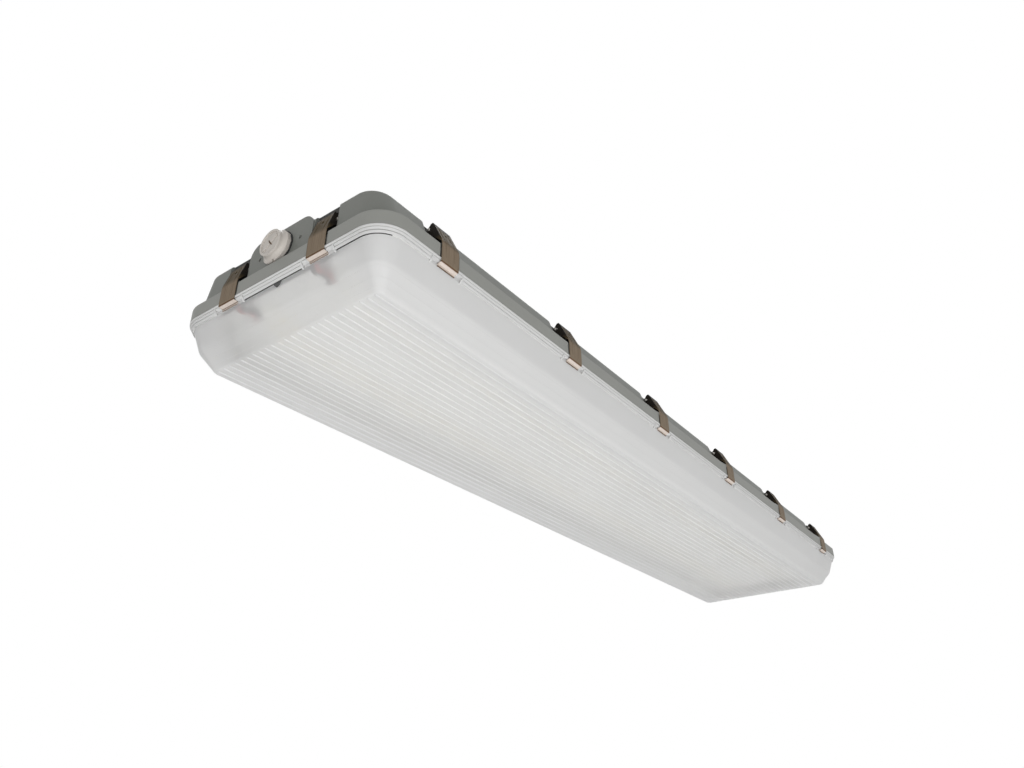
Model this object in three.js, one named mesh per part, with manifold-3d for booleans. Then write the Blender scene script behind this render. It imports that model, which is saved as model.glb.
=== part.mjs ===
// Vapor tight light fixture, seen in its working place under a ceiling.
// Millimetres, +Z up, +X along the length. The origin is the centre of the ceiling face on top.
// The cable entry with its plug is at the -X end.
import * as THREE from 'three';
import { mergeVertices } from 'three/addons/utils/BufferGeometryUtils.js';
import Module from 'manifold-3d';

const wasm = await Module();
wasm.setup();

// Rounded outline that the lens flange and the housing rim share
const outlineLength = 1297;
const outlineWidth = 305;
const outlineCorner = 33;
const cornerSteps = 5;

// Air between faces that rest on each other, and the overrun of a cut
const seatGap = 0.2;
const overrun = 1;

// Housing, heights above the top face of the lens flange
const rimHeight = 16.2;
const rimChamfer = 1.2;
const shoulderDrop = 7.3;
const crownRise = 2.6;
const crownInset = 5;
const wallEndBase = 6.5;
const wallEndTop = 8;
const wallSideBase = 11;
const wallSideTop = 23.5;
const wallCornerBase = 27;
const wallCornerTop = 23;
const skin = 3;

// Raised back of the housing, whose two ends are the flat bosses for a cable entry
const bossSideGap = 1;
const spineCorner = 16;
const bossInset = 6.2;

// Channel in the rim with its gasket, and the tongue of the lens that presses into it
const channelInset = 4.5;
const channelWidth = 6;
const channelDepth = 9;
const gasketClearance = 0.3;
const gasketThickness = 2.4;
const tongueInset = 6;
const tongueHeight = 6.1;

// Lens, depths below the top face of its flange
const lensDepth = 51.9;
const lensSkin = 2.6;
const lipFace = 0.8;
const lipStepInset = 2.6;
const lipStepDepth = 4.6;
const lipInset = 4.4;
const lipDepth = 7.8;
const grooveWidth = 1.2;
const grooveDepth = 2.2;
const lensWallInset = 5.8;
const kneeInset = 14.6;
const kneeDepth = 30.4;
const kneeRound = 1.4;
const floorInsetEnd = 32.3;
const floorInsetSide = 31;
const floorRound = 2;
const lensCornerLeast = 4;

// Ribs that run along the lens floor
const ribCount = 25;
const ribSideMargin = 7.14;
const ribPitch = (outlineWidth - 2 * (floorInsetSide + ribSideMargin)) / (ribCount - 1);
const ribWidth = 6;
const ribHeight = 1;
const ribEndSetback = 4;

// Latches and the pockets that they lie in
const sideLatchCount = 6;
const sideLatchEndMargin = 92.5;
const sideLatchPitch = (outlineLength - 2 * sideLatchEndMargin) / (sideLatchCount - 1);
const sideLatchShift = -2.5;
const endLatchSpacing = 132;
const strapWidth = 24.4;
const strapThickness = 0.9;
const strapStandOff = 0.4;
const kinkHeight = 19.5;
const kinkRound = 2;
const hookClearance = 0.45;
const hookReach = 4.9;
const hookHem = 1.3;
const hookSeatDepth = 4.2;
const hookSeatSide = 8.5;
const strapHoleRadius = 2;
const strapHoleHeight = 35.5;
const pinRadius = 2;
const pinOverhang = 2.2;
const pinFit = 0.1;
const earFit = 0.25;
const earRadius = 4.1;
const earStart = THREE.MathUtils.degToRad(155);
const earArc = THREE.MathUtils.degToRad(100);
const pocketSideClearance = 4.8;
const notchDepth = 2.9;
const notchSideClearance = 1.8;
const lugWidth = 12;
const lugNose = 3.3;
const lugFoot = 2.6;

// Pivot, top and pocket of a latch, outward from the edge and up from the flange.
// The walls lean less at the ends than at the sides, so there are two forms.
const sideLatch = { pinOut: -17, pinUp: 40.3, topOut: -13.2, topUp: 48.6, pocketFloor: 30, shelf: 30 };
const endLatch = { pinOut: -10.5, pinUp: 37.5, topOut: -7.2, topUp: 45.5, pocketFloor: 21.2, shelf: 12.3 };
const foldReach = 3.2;
const foldFall = 1.5;
const shelfDrop = 4.5;

// Cable entry: hub, gasket, locknut and screw plug
const hubCollarRadius = 18.8;
const hubCollarThickness = 4.6;
const hubConeLength = 2.8;
const hubConeBaseRadius = 16.5;
const hubConeTopRadius = 15;
const hubSleeveRadius = 12;
const hubSleeveReach = 14;
const hubBoreRadius = 9.6;
const hubLugWidth = 9;
const hubLugReach = 20.4;
const hubLugTurn = THREE.MathUtils.degToRad(142);
const entryRimGap = 0.8;
const entryRoofGap = 4.6;
const entryHeight = rimHeight + entryRimGap + hubLugReach;
const housingHeight = entryHeight + hubCollarRadius + entryRoofGap;
const shoulderHeight = housingHeight - shoulderDrop;
const hubGasketThickness = 1.2;
const hubGasketRadius = 19.6;
const sleeveFit = 0.3;
const locknutRadius = 17;
const locknutThickness = 5;
const plugSealThickness = 1.2;
const plugSealRadius = 12.4;
const plugNeckRadius = 13.2;
const plugNeckLength = 1.4;
const plugHeadRadius = 14.5;
const plugHeadThickness = 3.1;
const plugShankRadius = 9;
const plugShankLength = 12;
const plugFaceRadius = 11.6;
const plugFaceDepth = 0.9;
const plugBarWidth = 3.4;
const plugBarTurn = THREE.MathUtils.degToRad(37);
const plugSlotWidth = 1.8;
const plugSlotLength = 9.5;
const plugSlotDepth = 1.6;
const pilotHoleSpacing = 61;
const pilotHoleRadius = 1.9;
const pilotHoleDepth = 1.6;

// Gear tray with what it carries
const trayEndGap = 32;
const traySideGap = 47.5;
const trayLength = outlineLength - 2 * trayEndGap;
const trayHalfWidth = outlineWidth / 2 - traySideGap;
const trayHeight = 10;
const traySheet = 1;
const trayFold = 14;
const postRadius = 5.5;
const postEndMargin = 55;
const postSideMargin = 17;
const postOffsetX = trayLength / 2 - postEndMargin;
const postOffsetY = trayHalfWidth - postSideMargin;
const screwHeadRadius = 4;
const screwHeadHeight = 2.2;
const screwHeadTopShare = 0.7;
const screwShankRadius = 1.6;
const screwClearance = 0.3;
const postScrewLength = 12;
const boardWidth = 38;
const boardThickness = 1.6;
const boardEndGap = 12;
const boardEndMargin = 16;
const boardSideMargin = 31;
const boardLength = (trayLength - boardEndGap) / 2 - boardEndMargin;
const boardOffsetY = trayHalfWidth - boardWidth / 2 - boardSideMargin;
const boardClipLength = 12;
const boardClipLip = 2.5;
const boardClipSheet = 1;
const boardClipPlaceShares = [-0.4, 0.4];
const connectorLength = 14;
const connectorWidth = 13;
const connectorHeight = 6;
const connectorInset = 3;
const connectorSideMargin = 2.5;
const connectorShift = (boardWidth - connectorWidth) / 2 - connectorSideMargin;
const leadRadius = 1.1;
const leadSpread = 3.2;
const leadSag = 14;
const driverLength = 290;
const driverWidth = 52;
const driverHeight = 28;
const driverCentreX = -170;
const driverFootLength = 16;
const driverFootThickness = 2;
const driverScrewLength = 6;
const terminalLength = 42;
const terminalWidth = 22;
const terminalHeight = 15;
const terminalEndMargin = 95;
const terminalSideMargin = 25;
const terminalX = terminalEndMargin - trayLength / 2;
const terminalY = trayHalfWidth - terminalSideMargin;
const terminalSlotCount = 4;
const terminalSlotWidth = 6;
const terminalSlotDepth = 5;
const groundScrewEndMargin = 75;
const groundScrewX = groundScrewEndMargin - trayLength / 2;
const groundScrewLength = 5;

// Finish of each material, as colour, roughness and metalness
const finishes = {
  housing: [0x8a8f89, 0.62, 0],
  rubber: [0x232323, 0.85, 0],
  lens: [0xe9eae6, 0.45, 0],
  white: [0xf2f2ee, 0.4, 0.1],
  board: [0xf5f3ea, 0.5, 0],
  steel: [0xb9b4aa, 0.3, 1],
  plug: [0xd9d4cb, 0.5, 0],
  red: [0xb3261e, 0.5, 0],
  black: [0x1c1c1c, 0.5, 0],
  aluminium: [0xc4c6c8, 0.4, 0.9],
  brass: [0xb5994a, 0.35, 1],
};

// Height above the flange face, as a Z in the part's frame
const up = (height) => height - housingHeight;

const axisX = new THREE.Vector3(1, 0, 0);
const axisY = new THREE.Vector3(0, 1, 0);
const axisZ = new THREE.Vector3(0, 0, 1);

function solidOf(geometry) {
  const bare = new THREE.BufferGeometry();
  bare.setAttribute('position', geometry.getAttribute('position'));
  if (geometry.index) bare.setIndex(geometry.index);
  const merged = mergeVertices(bare, 1e-4);
  return new wasm.Manifold(new wasm.Mesh({
    numProp: 3,
    vertProperties: new Float32Array(merged.getAttribute('position').array),
    triVerts: new Uint32Array(merged.index.array),
  }));
}

function geometryOf(solid) {
  const mesh = solid.getMesh();
  const geometry = new THREE.BufferGeometry();
  geometry.setAttribute('position', new THREE.BufferAttribute(mesh.vertProperties, 3));
  geometry.setIndex(new THREE.BufferAttribute(mesh.triVerts, 1));
  geometry.computeVertexNormals();
  return geometry;
}

function unite(geometries) {
  return geometries.map(solidOf).reduce((all, next) => all.add(next));
}

// Rounded rectangle, anticlockwise from above
function roundedOutline(halfX, halfY, corner) {
  const points = [];
  for (let quarter = 0; quarter < 4; quarter++) {
    const signX = quarter === 0 || quarter === 3 ? 1 : -1;
    const signY = quarter < 2 ? 1 : -1;
    for (let step = 0; step <= cornerSteps; step++) {
      const angle = (quarter + step / cornerSteps) * Math.PI / 2;
      points.push(new THREE.Vector2(
        signX * (halfX - corner) + corner * Math.cos(angle),
        signY * (halfY - corner) + corner * Math.sin(angle),
      ));
    }
  }
  return points;
}

// One ring of a loft: the shared outline drawn in by its insets, at a height above the flange
function ring(insetEnd, insetSide, corner, height) {
  const outline = roundedOutline(outlineLength / 2 - insetEnd, outlineWidth / 2 - insetSide, corner);
  return { outline, z: up(height) };
}

// Ring with the same inset all round, whose corner follows the inset
function evenRing(inset, height) {
  return ring(inset, inset, Math.max(outlineCorner - inset, lensCornerLeast), height);
}

// Closed solid through a stack of rings, listed from its lower cap to its upper cap
function loft(rings) {
  const count = rings[0].outline.length;
  const positions = rings.flatMap(({ outline, z }) => outline.flatMap((point) => [point.x, point.y, z]));
  const faces = [];
  for (let level = 0; level + 1 < rings.length; level++) {
    for (let i = 0; i < count; i++) {
      const a = level * count + i;
      const b = level * count + (i + 1) % count;
      faces.push(a, b, b + count, a, b + count, a + count);
    }
  }
  const top = (rings.length - 1) * count;
  for (const [a, b, c] of THREE.ShapeUtils.triangulateShape(rings[0].outline, [])) {
    faces.push(a, c, b);
  }
  for (const [a, b, c] of THREE.ShapeUtils.triangulateShape(rings[rings.length - 1].outline, [])) {
    faces.push(top + a, top + b, top + c);
  }
  const geometry = new THREE.BufferGeometry();
  geometry.setAttribute('position', new THREE.Float32BufferAttribute(positions, 3));
  geometry.setIndex(faces);
  return geometry;
}

// Prism across an edge: the outline's x points outward and its y up, and it runs along local X
function edgePrism(outline, width, centreX = 0) {
  const geometry = new THREE.ExtrudeGeometry(new THREE.Shape(outline), { depth: width, bevelEnabled: false });
  geometry.applyMatrix4(new THREE.Matrix4().makeBasis(axisY, axisZ, axisX));
  return geometry.translate(centreX - width / 2, 0, 0);
}

function box(lengthX, lengthY, lengthZ, x, y, z) {
  return new THREE.BoxGeometry(lengthX, lengthY, lengthZ).translate(x, y, z);
}

// Round bar along X, Y or Z with its centre at a point
function bar(axis, radius, length, segments, x, y, z) {
  const geometry = new THREE.CylinderGeometry(radius, radius, length, segments);
  geometry.applyQuaternion(new THREE.Quaternion().setFromUnitVectors(axisY, axis));
  return geometry.translate(x, y, z);
}

// Solid of revolution about Z, from [radius, z] pairs that start and end on the axis or close
function turned(profile, segments) {
  return new THREE.LatheGeometry(profile.map(([radius, z]) => new THREE.Vector2(radius, z)), segments)
    .rotateX(Math.PI / 2);
}

// Outline of a bent sheet from the middle line of its section
function sheetOutline(line, thickness) {
  const near = [];
  const far = [];
  line.forEach((point, i) => {
    const before = line[Math.max(i - 1, 0)];
    const after = line[Math.min(i + 1, line.length - 1)];
    const along = point.clone().sub(before).normalize();
    const onward = after.clone().sub(point).normalize();
    if (i === 0) along.copy(onward);
    if (i === line.length - 1) onward.copy(along);
    const mitre = along.clone().add(onward).normalize();
    const reach = thickness / 2 / mitre.dot(along);
    const normal = new THREE.Vector2(-mitre.y, mitre.x).multiplyScalar(reach);
    near.push(point.clone().add(normal));
    far.push(point.clone().sub(normal));
  });
  return near.concat(far.reverse());
}

// Where the latches sit: name, form and place of each, with local Y pointing outward
function latchPlaces() {
  const places = [];
  const add = (name, form, x, y, turn) => {
    const matrix = new THREE.Matrix4().makeRotationZ(turn).setPosition(x, y, up(0));
    places.push({ name, form, x, y, turn, matrix });
  };
  for (let i = 0; i < sideLatchCount; i++) {
    const x = (i - (sideLatchCount - 1) / 2) * sideLatchPitch + sideLatchShift;
    add(`front_${i + 1}`, sideLatch, x, -outlineWidth / 2, Math.PI);
    add(`back_${i + 1}`, sideLatch, x, outlineWidth / 2, 0);
  }
  [-1, 1].forEach((side, i) => {
    const y = side * endLatchSpacing / 2;
    add(`near_${i + 1}`, endLatch, -outlineLength / 2, y, Math.PI / 2);
    add(`far_${i + 1}`, endLatch, outlineLength / 2, y, -Math.PI / 2);
  });
  return places;
}

const places = latchPlaces();
const shelfHeight = shoulderHeight - shelfDrop;
const pocketWidth = strapWidth + 2 * pocketSideClearance;
const notchWidth = strapWidth + 2 * notchSideClearance;
const spineHalfWidth = (endLatchSpacing - pocketWidth) / 2 - bossSideGap;
const placed = (geometry, place) => geometry.applyMatrix4(place.matrix);

// Section of the raised back, drawn in by a wall, with its two upper corners rounded
function spineOutline(inset, foot) {
  const half = spineHalfWidth - inset;
  const corner = spineCorner - inset;
  const shape = new THREE.Shape();
  shape.moveTo(-half, foot);
  shape.lineTo(half, foot);
  shape.lineTo(half, -inset - corner);
  shape.absarc(half - corner, -inset - corner, corner, 0, Math.PI / 2, false);
  shape.absarc(-half + corner, -inset - corner, corner, Math.PI / 2, Math.PI, false);
  return shape.extractPoints(cornerSteps).shape;
}

function spine(inset, foot) {
  const length = outlineLength - 2 * (bossInset + inset);
  return edgePrism(spineOutline(inset, foot), length);
}

function housingOuter() {
  const shell = loft([
    evenRing(0, seatGap),
    evenRing(0, rimHeight - rimChamfer),
    evenRing(rimChamfer, rimHeight),
    ring(wallEndBase, wallSideBase, wallCornerBase, rimHeight),
    ring(wallEndTop, wallSideTop, wallCornerTop, shoulderHeight),
    ring(wallEndTop + crownInset, wallSideTop + crownInset, wallCornerTop - crownInset,
      shoulderHeight + crownRise),
  ]);
  return unite([shell, spine(0, up(rimHeight - overrun))]);
}

// Material left behind each pocket, so that the wall keeps its thickness there
function pocketBacking(place) {
  const inner = -place.form.pocketFloor - skin;
  const low = rimHeight - skin;
  const high = housingHeight;
  const outline = [
    new THREE.Vector2(inner, low), new THREE.Vector2(overrun, low),
    new THREE.Vector2(overrun, high), new THREE.Vector2(inner, high),
  ];
  return placed(edgePrism(outline, pocketWidth + 2 * skin), place);
}

function housingCavity() {
  const inset = channelInset + channelWidth + skin;
  const corner = outlineCorner - inset;
  const rimCorner = corner - skin;
  const roof = shoulderHeight + crownRise - skin;
  const well = loft([
    ring(inset, inset, corner, -overrun),
    ring(inset, inset, corner, rimHeight - skin),
    ring(inset, wallSideBase + skin, corner, rimHeight - skin),
    ring(inset, wallSideTop + skin, rimCorner, roof - skin),
    ring(inset + skin, wallSideTop + crownInset + skin, rimCorner - skin, roof),
  ]);
  const backing = unite(places.map(pocketBacking));
  return unite([well, spine(skin, up(rimHeight + skin))]).subtract(backing);
}

// Pocket in the wall and notch in the rim that one latch lies in
function latchPocket(place) {
  const { pocketFloor, shelf } = place.form;
  const high = housingHeight;
  const pocket = edgePrism([
    new THREE.Vector2(overrun, rimHeight),
    new THREE.Vector2(-pocketFloor, rimHeight),
    new THREE.Vector2(-pocketFloor, shelfHeight - crownRise),
    new THREE.Vector2(-shelf, shelfHeight),
    new THREE.Vector2(-shelf, high),
    new THREE.Vector2(overrun, high),
  ], pocketWidth);
  const notch = edgePrism([
    new THREE.Vector2(overrun, 0), new THREE.Vector2(-notchDepth, 0),
    new THREE.Vector2(-notchDepth, rimHeight + overrun), new THREE.Vector2(overrun, rimHeight + overrun),
  ], notchWidth);
  return [placed(pocket, place), placed(notch, place)];
}

// Lug on the pocket's floor, behind the strap, that holds the pin
function pinLug(place) {
  const { pinOut, pinUp, pocketFloor } = place.form;
  const slope = Math.PI / 3;
  const topAngle = Math.PI - slope / 2;
  const noseTop = new THREE.Vector2(Math.cos(topAngle), Math.sin(topAngle)).multiplyScalar(lugNose);
  const floor = -pocketFloor - skin / 2;
  const run = noseTop.x + pinOut - floor;
  const footTop = pinUp + noseTop.y - run * Math.tan(slope);
  const outline = [new THREE.Vector2(floor, footTop), new THREE.Vector2(floor, footTop - lugFoot)];
  for (let step = 0; step <= cornerSteps; step++) {
    const angle = -Math.PI / 2 - slope / 2 + (topAngle + Math.PI / 2 + slope / 2) * step / cornerSteps;
    outline.push(new THREE.Vector2(pinOut + lugNose * Math.cos(angle), pinUp + lugNose * Math.sin(angle)));
  }
  return placed(edgePrism(outline, lugWidth), place);
}

function pinBar(place, radius, length, segments) {
  return placed(bar(axisX, radius, length, segments, 0, place.form.pinOut, place.form.pinUp), place);
}

function postPlaces() {
  return [-1, 1].flatMap((column) => [-1, 1].map((row) => [column * postOffsetX, row * postOffsetY]));
}

function housing() {
  const roof = shoulderHeight + crownRise - skin;
  const postFoot = trayHeight + traySheet + seatGap;
  const postLength = roof + skin / 2 - postFoot;
  const posts = postPlaces().map(([x, y]) =>
    bar(axisZ, postRadius, postLength, 12, x, y, up(postFoot + postLength / 2)));
  const pilots = postPlaces().map(([x, y]) =>
    bar(axisZ, screwShankRadius + pinFit, 2 * postScrewLength, 8, x, y, up(postFoot)));
  const channel = unite([loft([evenRing(channelInset, -overrun), evenRing(channelInset, channelDepth)])])
    .subtract(solidOf(loft([
      evenRing(channelInset + channelWidth, -2 * overrun),
      evenRing(channelInset + channelWidth, channelDepth + overrun),
    ])));
  const faceX = -outlineLength / 2 + bossInset;
  const holes = [-1, 1].map((side) => bar(axisX, pilotHoleRadius, 2 * pilotHoleDepth, 10,
    faceX, side * pilotHoleSpacing / 2, up(entryHeight)));
  const entry = bar(axisX, hubSleeveRadius + sleeveFit, 4 * skin, 24, faceX, 0, up(entryHeight));
  return housingOuter()
    .subtract(housingCavity())
    .subtract(channel)
    .subtract(unite(places.flatMap(latchPocket)))
    .add(unite(places.map(pinLug)))
    .add(unite(posts))
    .subtract(unite([...pilots, ...holes, entry]))
    .subtract(unite(places.map((place) => pinBar(place, pinRadius + pinFit, lugWidth + overrun, 8))));
}

function housingGasket() {
  const outer = channelInset + gasketClearance;
  const inner = channelInset + channelWidth - gasketClearance;
  const top = channelDepth - seatGap;
  const bottom = top - gasketThickness;
  return solidOf(loft([evenRing(outer, bottom), evenRing(outer, top)]))
    .subtract(solidOf(loft([evenRing(inner, bottom - overrun), evenRing(inner, top + overrun)])));
}

// Outer surface of the lens, from its floor up to the flange
function lensOuter() {
  const floorCorner = lensCornerLeast;
  const grooveInset = lipInset + grooveWidth;
  return loft([
    ring(floorInsetEnd, floorInsetSide, floorCorner, -lensDepth),
    ring(floorInsetEnd - floorRound, floorInsetSide - floorRound, floorCorner + floorRound,
      -lensDepth + floorRound),
    evenRing(kneeInset + kneeRound, -kneeDepth - kneeRound),
    evenRing(kneeInset, -kneeDepth + kneeRound),
    evenRing(lensWallInset, -lipDepth),
    evenRing(grooveInset, -lipDepth),
    evenRing(grooveInset, -lipDepth + grooveDepth),
    evenRing(lipInset, -lipDepth + grooveDepth),
    evenRing(lipInset, -lipDepth),
    evenRing(lipStepInset, -lipStepDepth),
    evenRing(0, -lipFace),
    evenRing(0, 0),
  ]);
}

function lensCavity() {
  const floorCorner = lensCornerLeast;
  return loft([
    ring(floorInsetEnd + lensSkin / 2, floorInsetSide + lensSkin / 2, floorCorner, -lensDepth + lensSkin),
    ring(floorInsetEnd - floorRound + lensSkin / 2, floorInsetSide - floorRound + lensSkin / 2,
      floorCorner + floorRound, -lensDepth + lensSkin + floorRound),
    evenRing(kneeInset + kneeRound + lensSkin, -kneeDepth),
    evenRing(kneeInset + lensSkin, -kneeDepth + 2 * kneeRound),
    evenRing(lensWallInset + lensSkin, -lipDepth),
    evenRing(lensWallInset + lensSkin, tongueHeight + overrun),
  ]);
}

// Low rounded ribs side by side on the lens floor
function lensRibs() {
  const length = outlineLength - 2 * (floorInsetEnd + ribEndSetback);
  const heightShares = [0, 0.75, 1, 0.75, 0];
  const section = heightShares.map((share, i) => new THREE.Vector2(
    ribWidth * (i / (heightShares.length - 1) - 1 / 2), -lensDepth - share * ribHeight));
  section.push(new THREE.Vector2(ribWidth / 2, -lensDepth + lensSkin / 2));
  section.push(new THREE.Vector2(-ribWidth / 2, -lensDepth + lensSkin / 2));
  return Array.from({ length: ribCount }, (_, i) =>
    edgePrism(section, length).translate(0, (i - (ribCount - 1) / 2) * ribPitch, up(0)));
}

// Flat seat for a hook, let into the flange's sloping underside
function hookSeat(place) {
  const outline = [
    new THREE.Vector2(-lensWallInset, -hookSeatDepth), new THREE.Vector2(overrun, -hookSeatDepth),
    new THREE.Vector2(overrun, -lipDepth - overrun), new THREE.Vector2(-lensWallInset, -lipDepth - overrun),
  ];
  return placed(edgePrism(outline, strapWidth + 2 * hookSeatSide), place);
}

function lens() {
  const tongue = loft([evenRing(tongueInset, -overrun), evenRing(tongueInset, tongueHeight)]);
  return unite([lensOuter(), tongue, ...lensRibs()])
    .subtract(solidOf(lensCavity()))
    .subtract(unite(places.map(hookSeat)));
}

// Point on the strap's middle line at a height on its leaning part
function strapAt(form, height) {
  const out = strapStandOff + strapThickness / 2;
  const share = (height - kinkHeight) / (form.topUp - kinkHeight);
  return new THREE.Vector2(out + (form.topOut - out) * share, height);
}

// Inner end of the fold on top of a strap
function foldEnd(form) {
  return new THREE.Vector2(form.topOut - foldReach, form.topUp - foldFall);
}

// Middle line of a strap, from the hem of its hook to the fold on top.
// The hook lies on a circle about the pin, so that it swings clear of the flange.
function strapLine(form) {
  const pin = new THREE.Vector2(form.pinOut, form.pinUp);
  const cornerInset = lipStepInset * (hookSeatDepth - lipFace) / (lipStepDepth - lipFace);
  const corner = new THREE.Vector2(-cornerInset, -hookSeatDepth);
  const radius = pin.distanceTo(corner) + hookClearance + strapThickness / 2;
  const out = strapStandOff + strapThickness / 2;
  const onCircle = (x) => new THREE.Vector2(x, pin.y - Math.sqrt(radius ** 2 - (x - pin.x) ** 2));
  const tip = onCircle(-hookReach);
  const bend = onCircle(out - strapThickness);
  return [
    new THREE.Vector2(tip.x + strapThickness / 3, tip.y - hookHem), tip, onCircle(-hookReach / 2), bend,
    new THREE.Vector2(out, bend.y + strapThickness), new THREE.Vector2(out, kinkHeight - kinkRound),
    strapAt(form, kinkHeight + kinkRound), new THREE.Vector2(form.topOut, form.topUp), foldEnd(form),
  ];
}

// Side ear of a strap, from its leaning part round the pin
function earOutline(form) {
  const pin = new THREE.Vector2(form.pinOut, form.pinUp);
  const outline = [
    strapAt(form, form.pinUp - 2 * earRadius), new THREE.Vector2(form.topOut, form.topUp), foldEnd(form),
  ];
  for (let step = 0; step < cornerSteps; step++) {
    const angle = earStart + step * earArc / (cornerSteps - 1);
    outline.push(new THREE.Vector2(Math.cos(angle), Math.sin(angle)).multiplyScalar(earRadius).add(pin));
  }
  return outline;
}

function latch(form) {
  const strap = edgePrism(sheetOutline(strapLine(form), strapThickness), strapWidth);
  const ears = [-1, 1].map((side) =>
    edgePrism(earOutline(form), strapThickness, side * (strapWidth - strapThickness) / 2));
  const bore = bar(axisX, pinRadius + earFit, strapWidth + overrun, 8, 0, form.pinOut, form.pinUp);
  const hole = strapAt(form, strapHoleHeight);
  const lean = Math.atan2(strapStandOff - form.topOut, form.topUp - kinkHeight);
  const holeCut = new THREE.CylinderGeometry(strapHoleRadius, strapHoleRadius, 4 * strapThickness, 8)
    .rotateX(lean).translate(0, hole.x, hole.y);
  return unite([strap, ...ears]).subtract(unite([bore])).subtract(solidOf(holeCut));
}

// The entry's pieces are turned about Z and laid along -X, from the boss face outward
const bossFaceX = -outlineLength / 2 + bossInset;
const hubBase = seatGap + hubGasketThickness + seatGap;
const hubFace = hubBase + hubCollarThickness + hubConeLength;
const plugBase = hubFace + seatGap + plugSealThickness + seatGap;
const entryPiece = (geometry) => geometry.rotateY(-Math.PI / 2).translate(bossFaceX, 0, up(entryHeight));

function hubGasket() {
  const bore = hubSleeveRadius + sleeveFit;
  return entryPiece(turned([
    [bore, seatGap], [hubGasketRadius, seatGap], [hubGasketRadius, seatGap + hubGasketThickness],
    [bore, seatGap + hubGasketThickness], [bore, seatGap],
  ], 24));
}

function entryHub() {
  const sleeveEnd = hubBase - hubSleeveReach;
  const collar = new THREE.CylinderGeometry(hubCollarRadius, hubCollarRadius, hubCollarThickness, 12)
    .rotateX(Math.PI / 2).translate(0, 0, hubBase + hubCollarThickness / 2);
  const body = turned([
    [0, sleeveEnd], [hubSleeveRadius, sleeveEnd], [hubSleeveRadius, hubBase + hubCollarThickness / 2],
    [hubConeBaseRadius, hubBase + hubCollarThickness / 2], [hubConeBaseRadius, hubBase + hubCollarThickness],
    [hubConeTopRadius, hubFace], [0, hubFace],
  ], 24);
  const bore = new THREE.CylinderGeometry(hubBoreRadius, hubBoreRadius, 4 * hubSleeveReach, 24)
    .rotateX(Math.PI / 2);
  const lugBase = hubSleeveRadius + sleeveFit;
  const lug = new THREE.BoxGeometry(hubLugReach - lugBase, hubLugWidth, hubCollarThickness)
    .translate((hubLugReach + lugBase) / 2, 0, hubBase + hubCollarThickness / 2).rotateZ(hubLugTurn);
  return entryPiece(geometryOf(unite([collar, body, lug]).subtract(solidOf(bore))));
}

function hubLocknut() {
  const top = -skin - seatGap;
  const middle = top - locknutThickness / 2;
  const nut = new THREE.CylinderGeometry(locknutRadius, locknutRadius, locknutThickness, 6)
    .rotateX(Math.PI / 2).translate(0, 0, middle);
  const bore = new THREE.CylinderGeometry(hubSleeveRadius + seatGap, hubSleeveRadius + seatGap,
    2 * locknutThickness, 24).rotateX(Math.PI / 2).translate(0, 0, middle);
  return entryPiece(geometryOf(solidOf(nut).subtract(solidOf(bore))));
}

function plugSeal() {
  const bore = plugShankRadius + seatGap;
  const low = hubFace + seatGap;
  return entryPiece(turned([
    [bore, low], [plugSealRadius, low], [plugSealRadius, low + plugSealThickness],
    [bore, low + plugSealThickness], [bore, low],
  ], 20));
}

// Screw plug: shank, neck and head, with a sunk face crossed by a slotted bar
function entryPlug() {
  const headBase = plugBase + plugNeckLength;
  const face = headBase + plugHeadThickness;
  const body = turned([
    [0, plugBase - plugShankLength], [plugShankRadius, plugBase - plugShankLength],
    [plugShankRadius, plugBase], [plugNeckRadius, plugBase], [plugNeckRadius, headBase],
    [plugHeadRadius, headBase], [plugHeadRadius, face - plugFaceDepth / 2],
    [plugHeadRadius - plugFaceDepth / 2, face], [0, face],
  ], 24);
  const sunk = new THREE.CylinderGeometry(plugFaceRadius, plugFaceRadius, 2 * plugFaceDepth, 24)
    .rotateX(Math.PI / 2).translate(0, 0, face);
  const grip = new THREE.BoxGeometry(plugBarWidth, 2 * plugFaceRadius, 4 * plugFaceDepth)
    .rotateZ(plugBarTurn).translate(0, 0, face);
  const slot = new THREE.BoxGeometry(plugSlotLength, plugSlotWidth, 2 * plugSlotDepth)
    .rotateZ(plugBarTurn).translate(0, 0, face);
  return entryPiece(geometryOf(
    solidOf(body).subtract(solidOf(sunk).subtract(solidOf(grip))).subtract(solidOf(slot))));
}

// Screw with its head's seat at z = 0, its head below and its shank above
function screw(length) {
  return turned([
    [0, -screwHeadHeight], [screwHeadRadius * screwHeadTopShare, -screwHeadHeight], [screwHeadRadius, 0],
    [screwShankRadius, 0], [screwShankRadius, length], [0, length],
  ], 8);
}

const boardCentreX = boardEndGap / 2 + boardLength / 2;
const boardTop = trayHeight - seatGap;
const boardUnder = boardTop - boardThickness;

function boardPlaces() {
  return [-1, 1].flatMap((row) => [-1, 1].map((end) => [end * boardCentreX, row * boardOffsetY]));
}

function ledBoard([x, y]) {
  return box(boardLength, boardWidth, boardThickness, x, y, up(boardTop - boardThickness / 2));
}

// Clips of the tray that hold the two long edges of a board
function boardClips([x, y]) {
  const wall = boardWidth / 2 + seatGap;
  const under = boardUnder - seatGap;
  const section = [
    [wall, trayHeight + traySheet / 2], [wall + boardClipSheet, trayHeight + traySheet / 2],
    [wall + boardClipSheet, under - boardClipSheet], [wall - boardClipLip, under - boardClipSheet],
    [wall - boardClipLip, under], [wall, under],
  ];
  return [-1, 1].flatMap((side) => boardClipPlaceShares.map((share) => edgePrism(
    section.map(([across, height]) => new THREE.Vector2(side * across, up(height))),
    boardClipLength, x + share * boardLength).translate(0, y, 0)));
}

const driverFootX = (end) => driverCentreX + end * (driverLength + driverFootLength) / 2;

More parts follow.
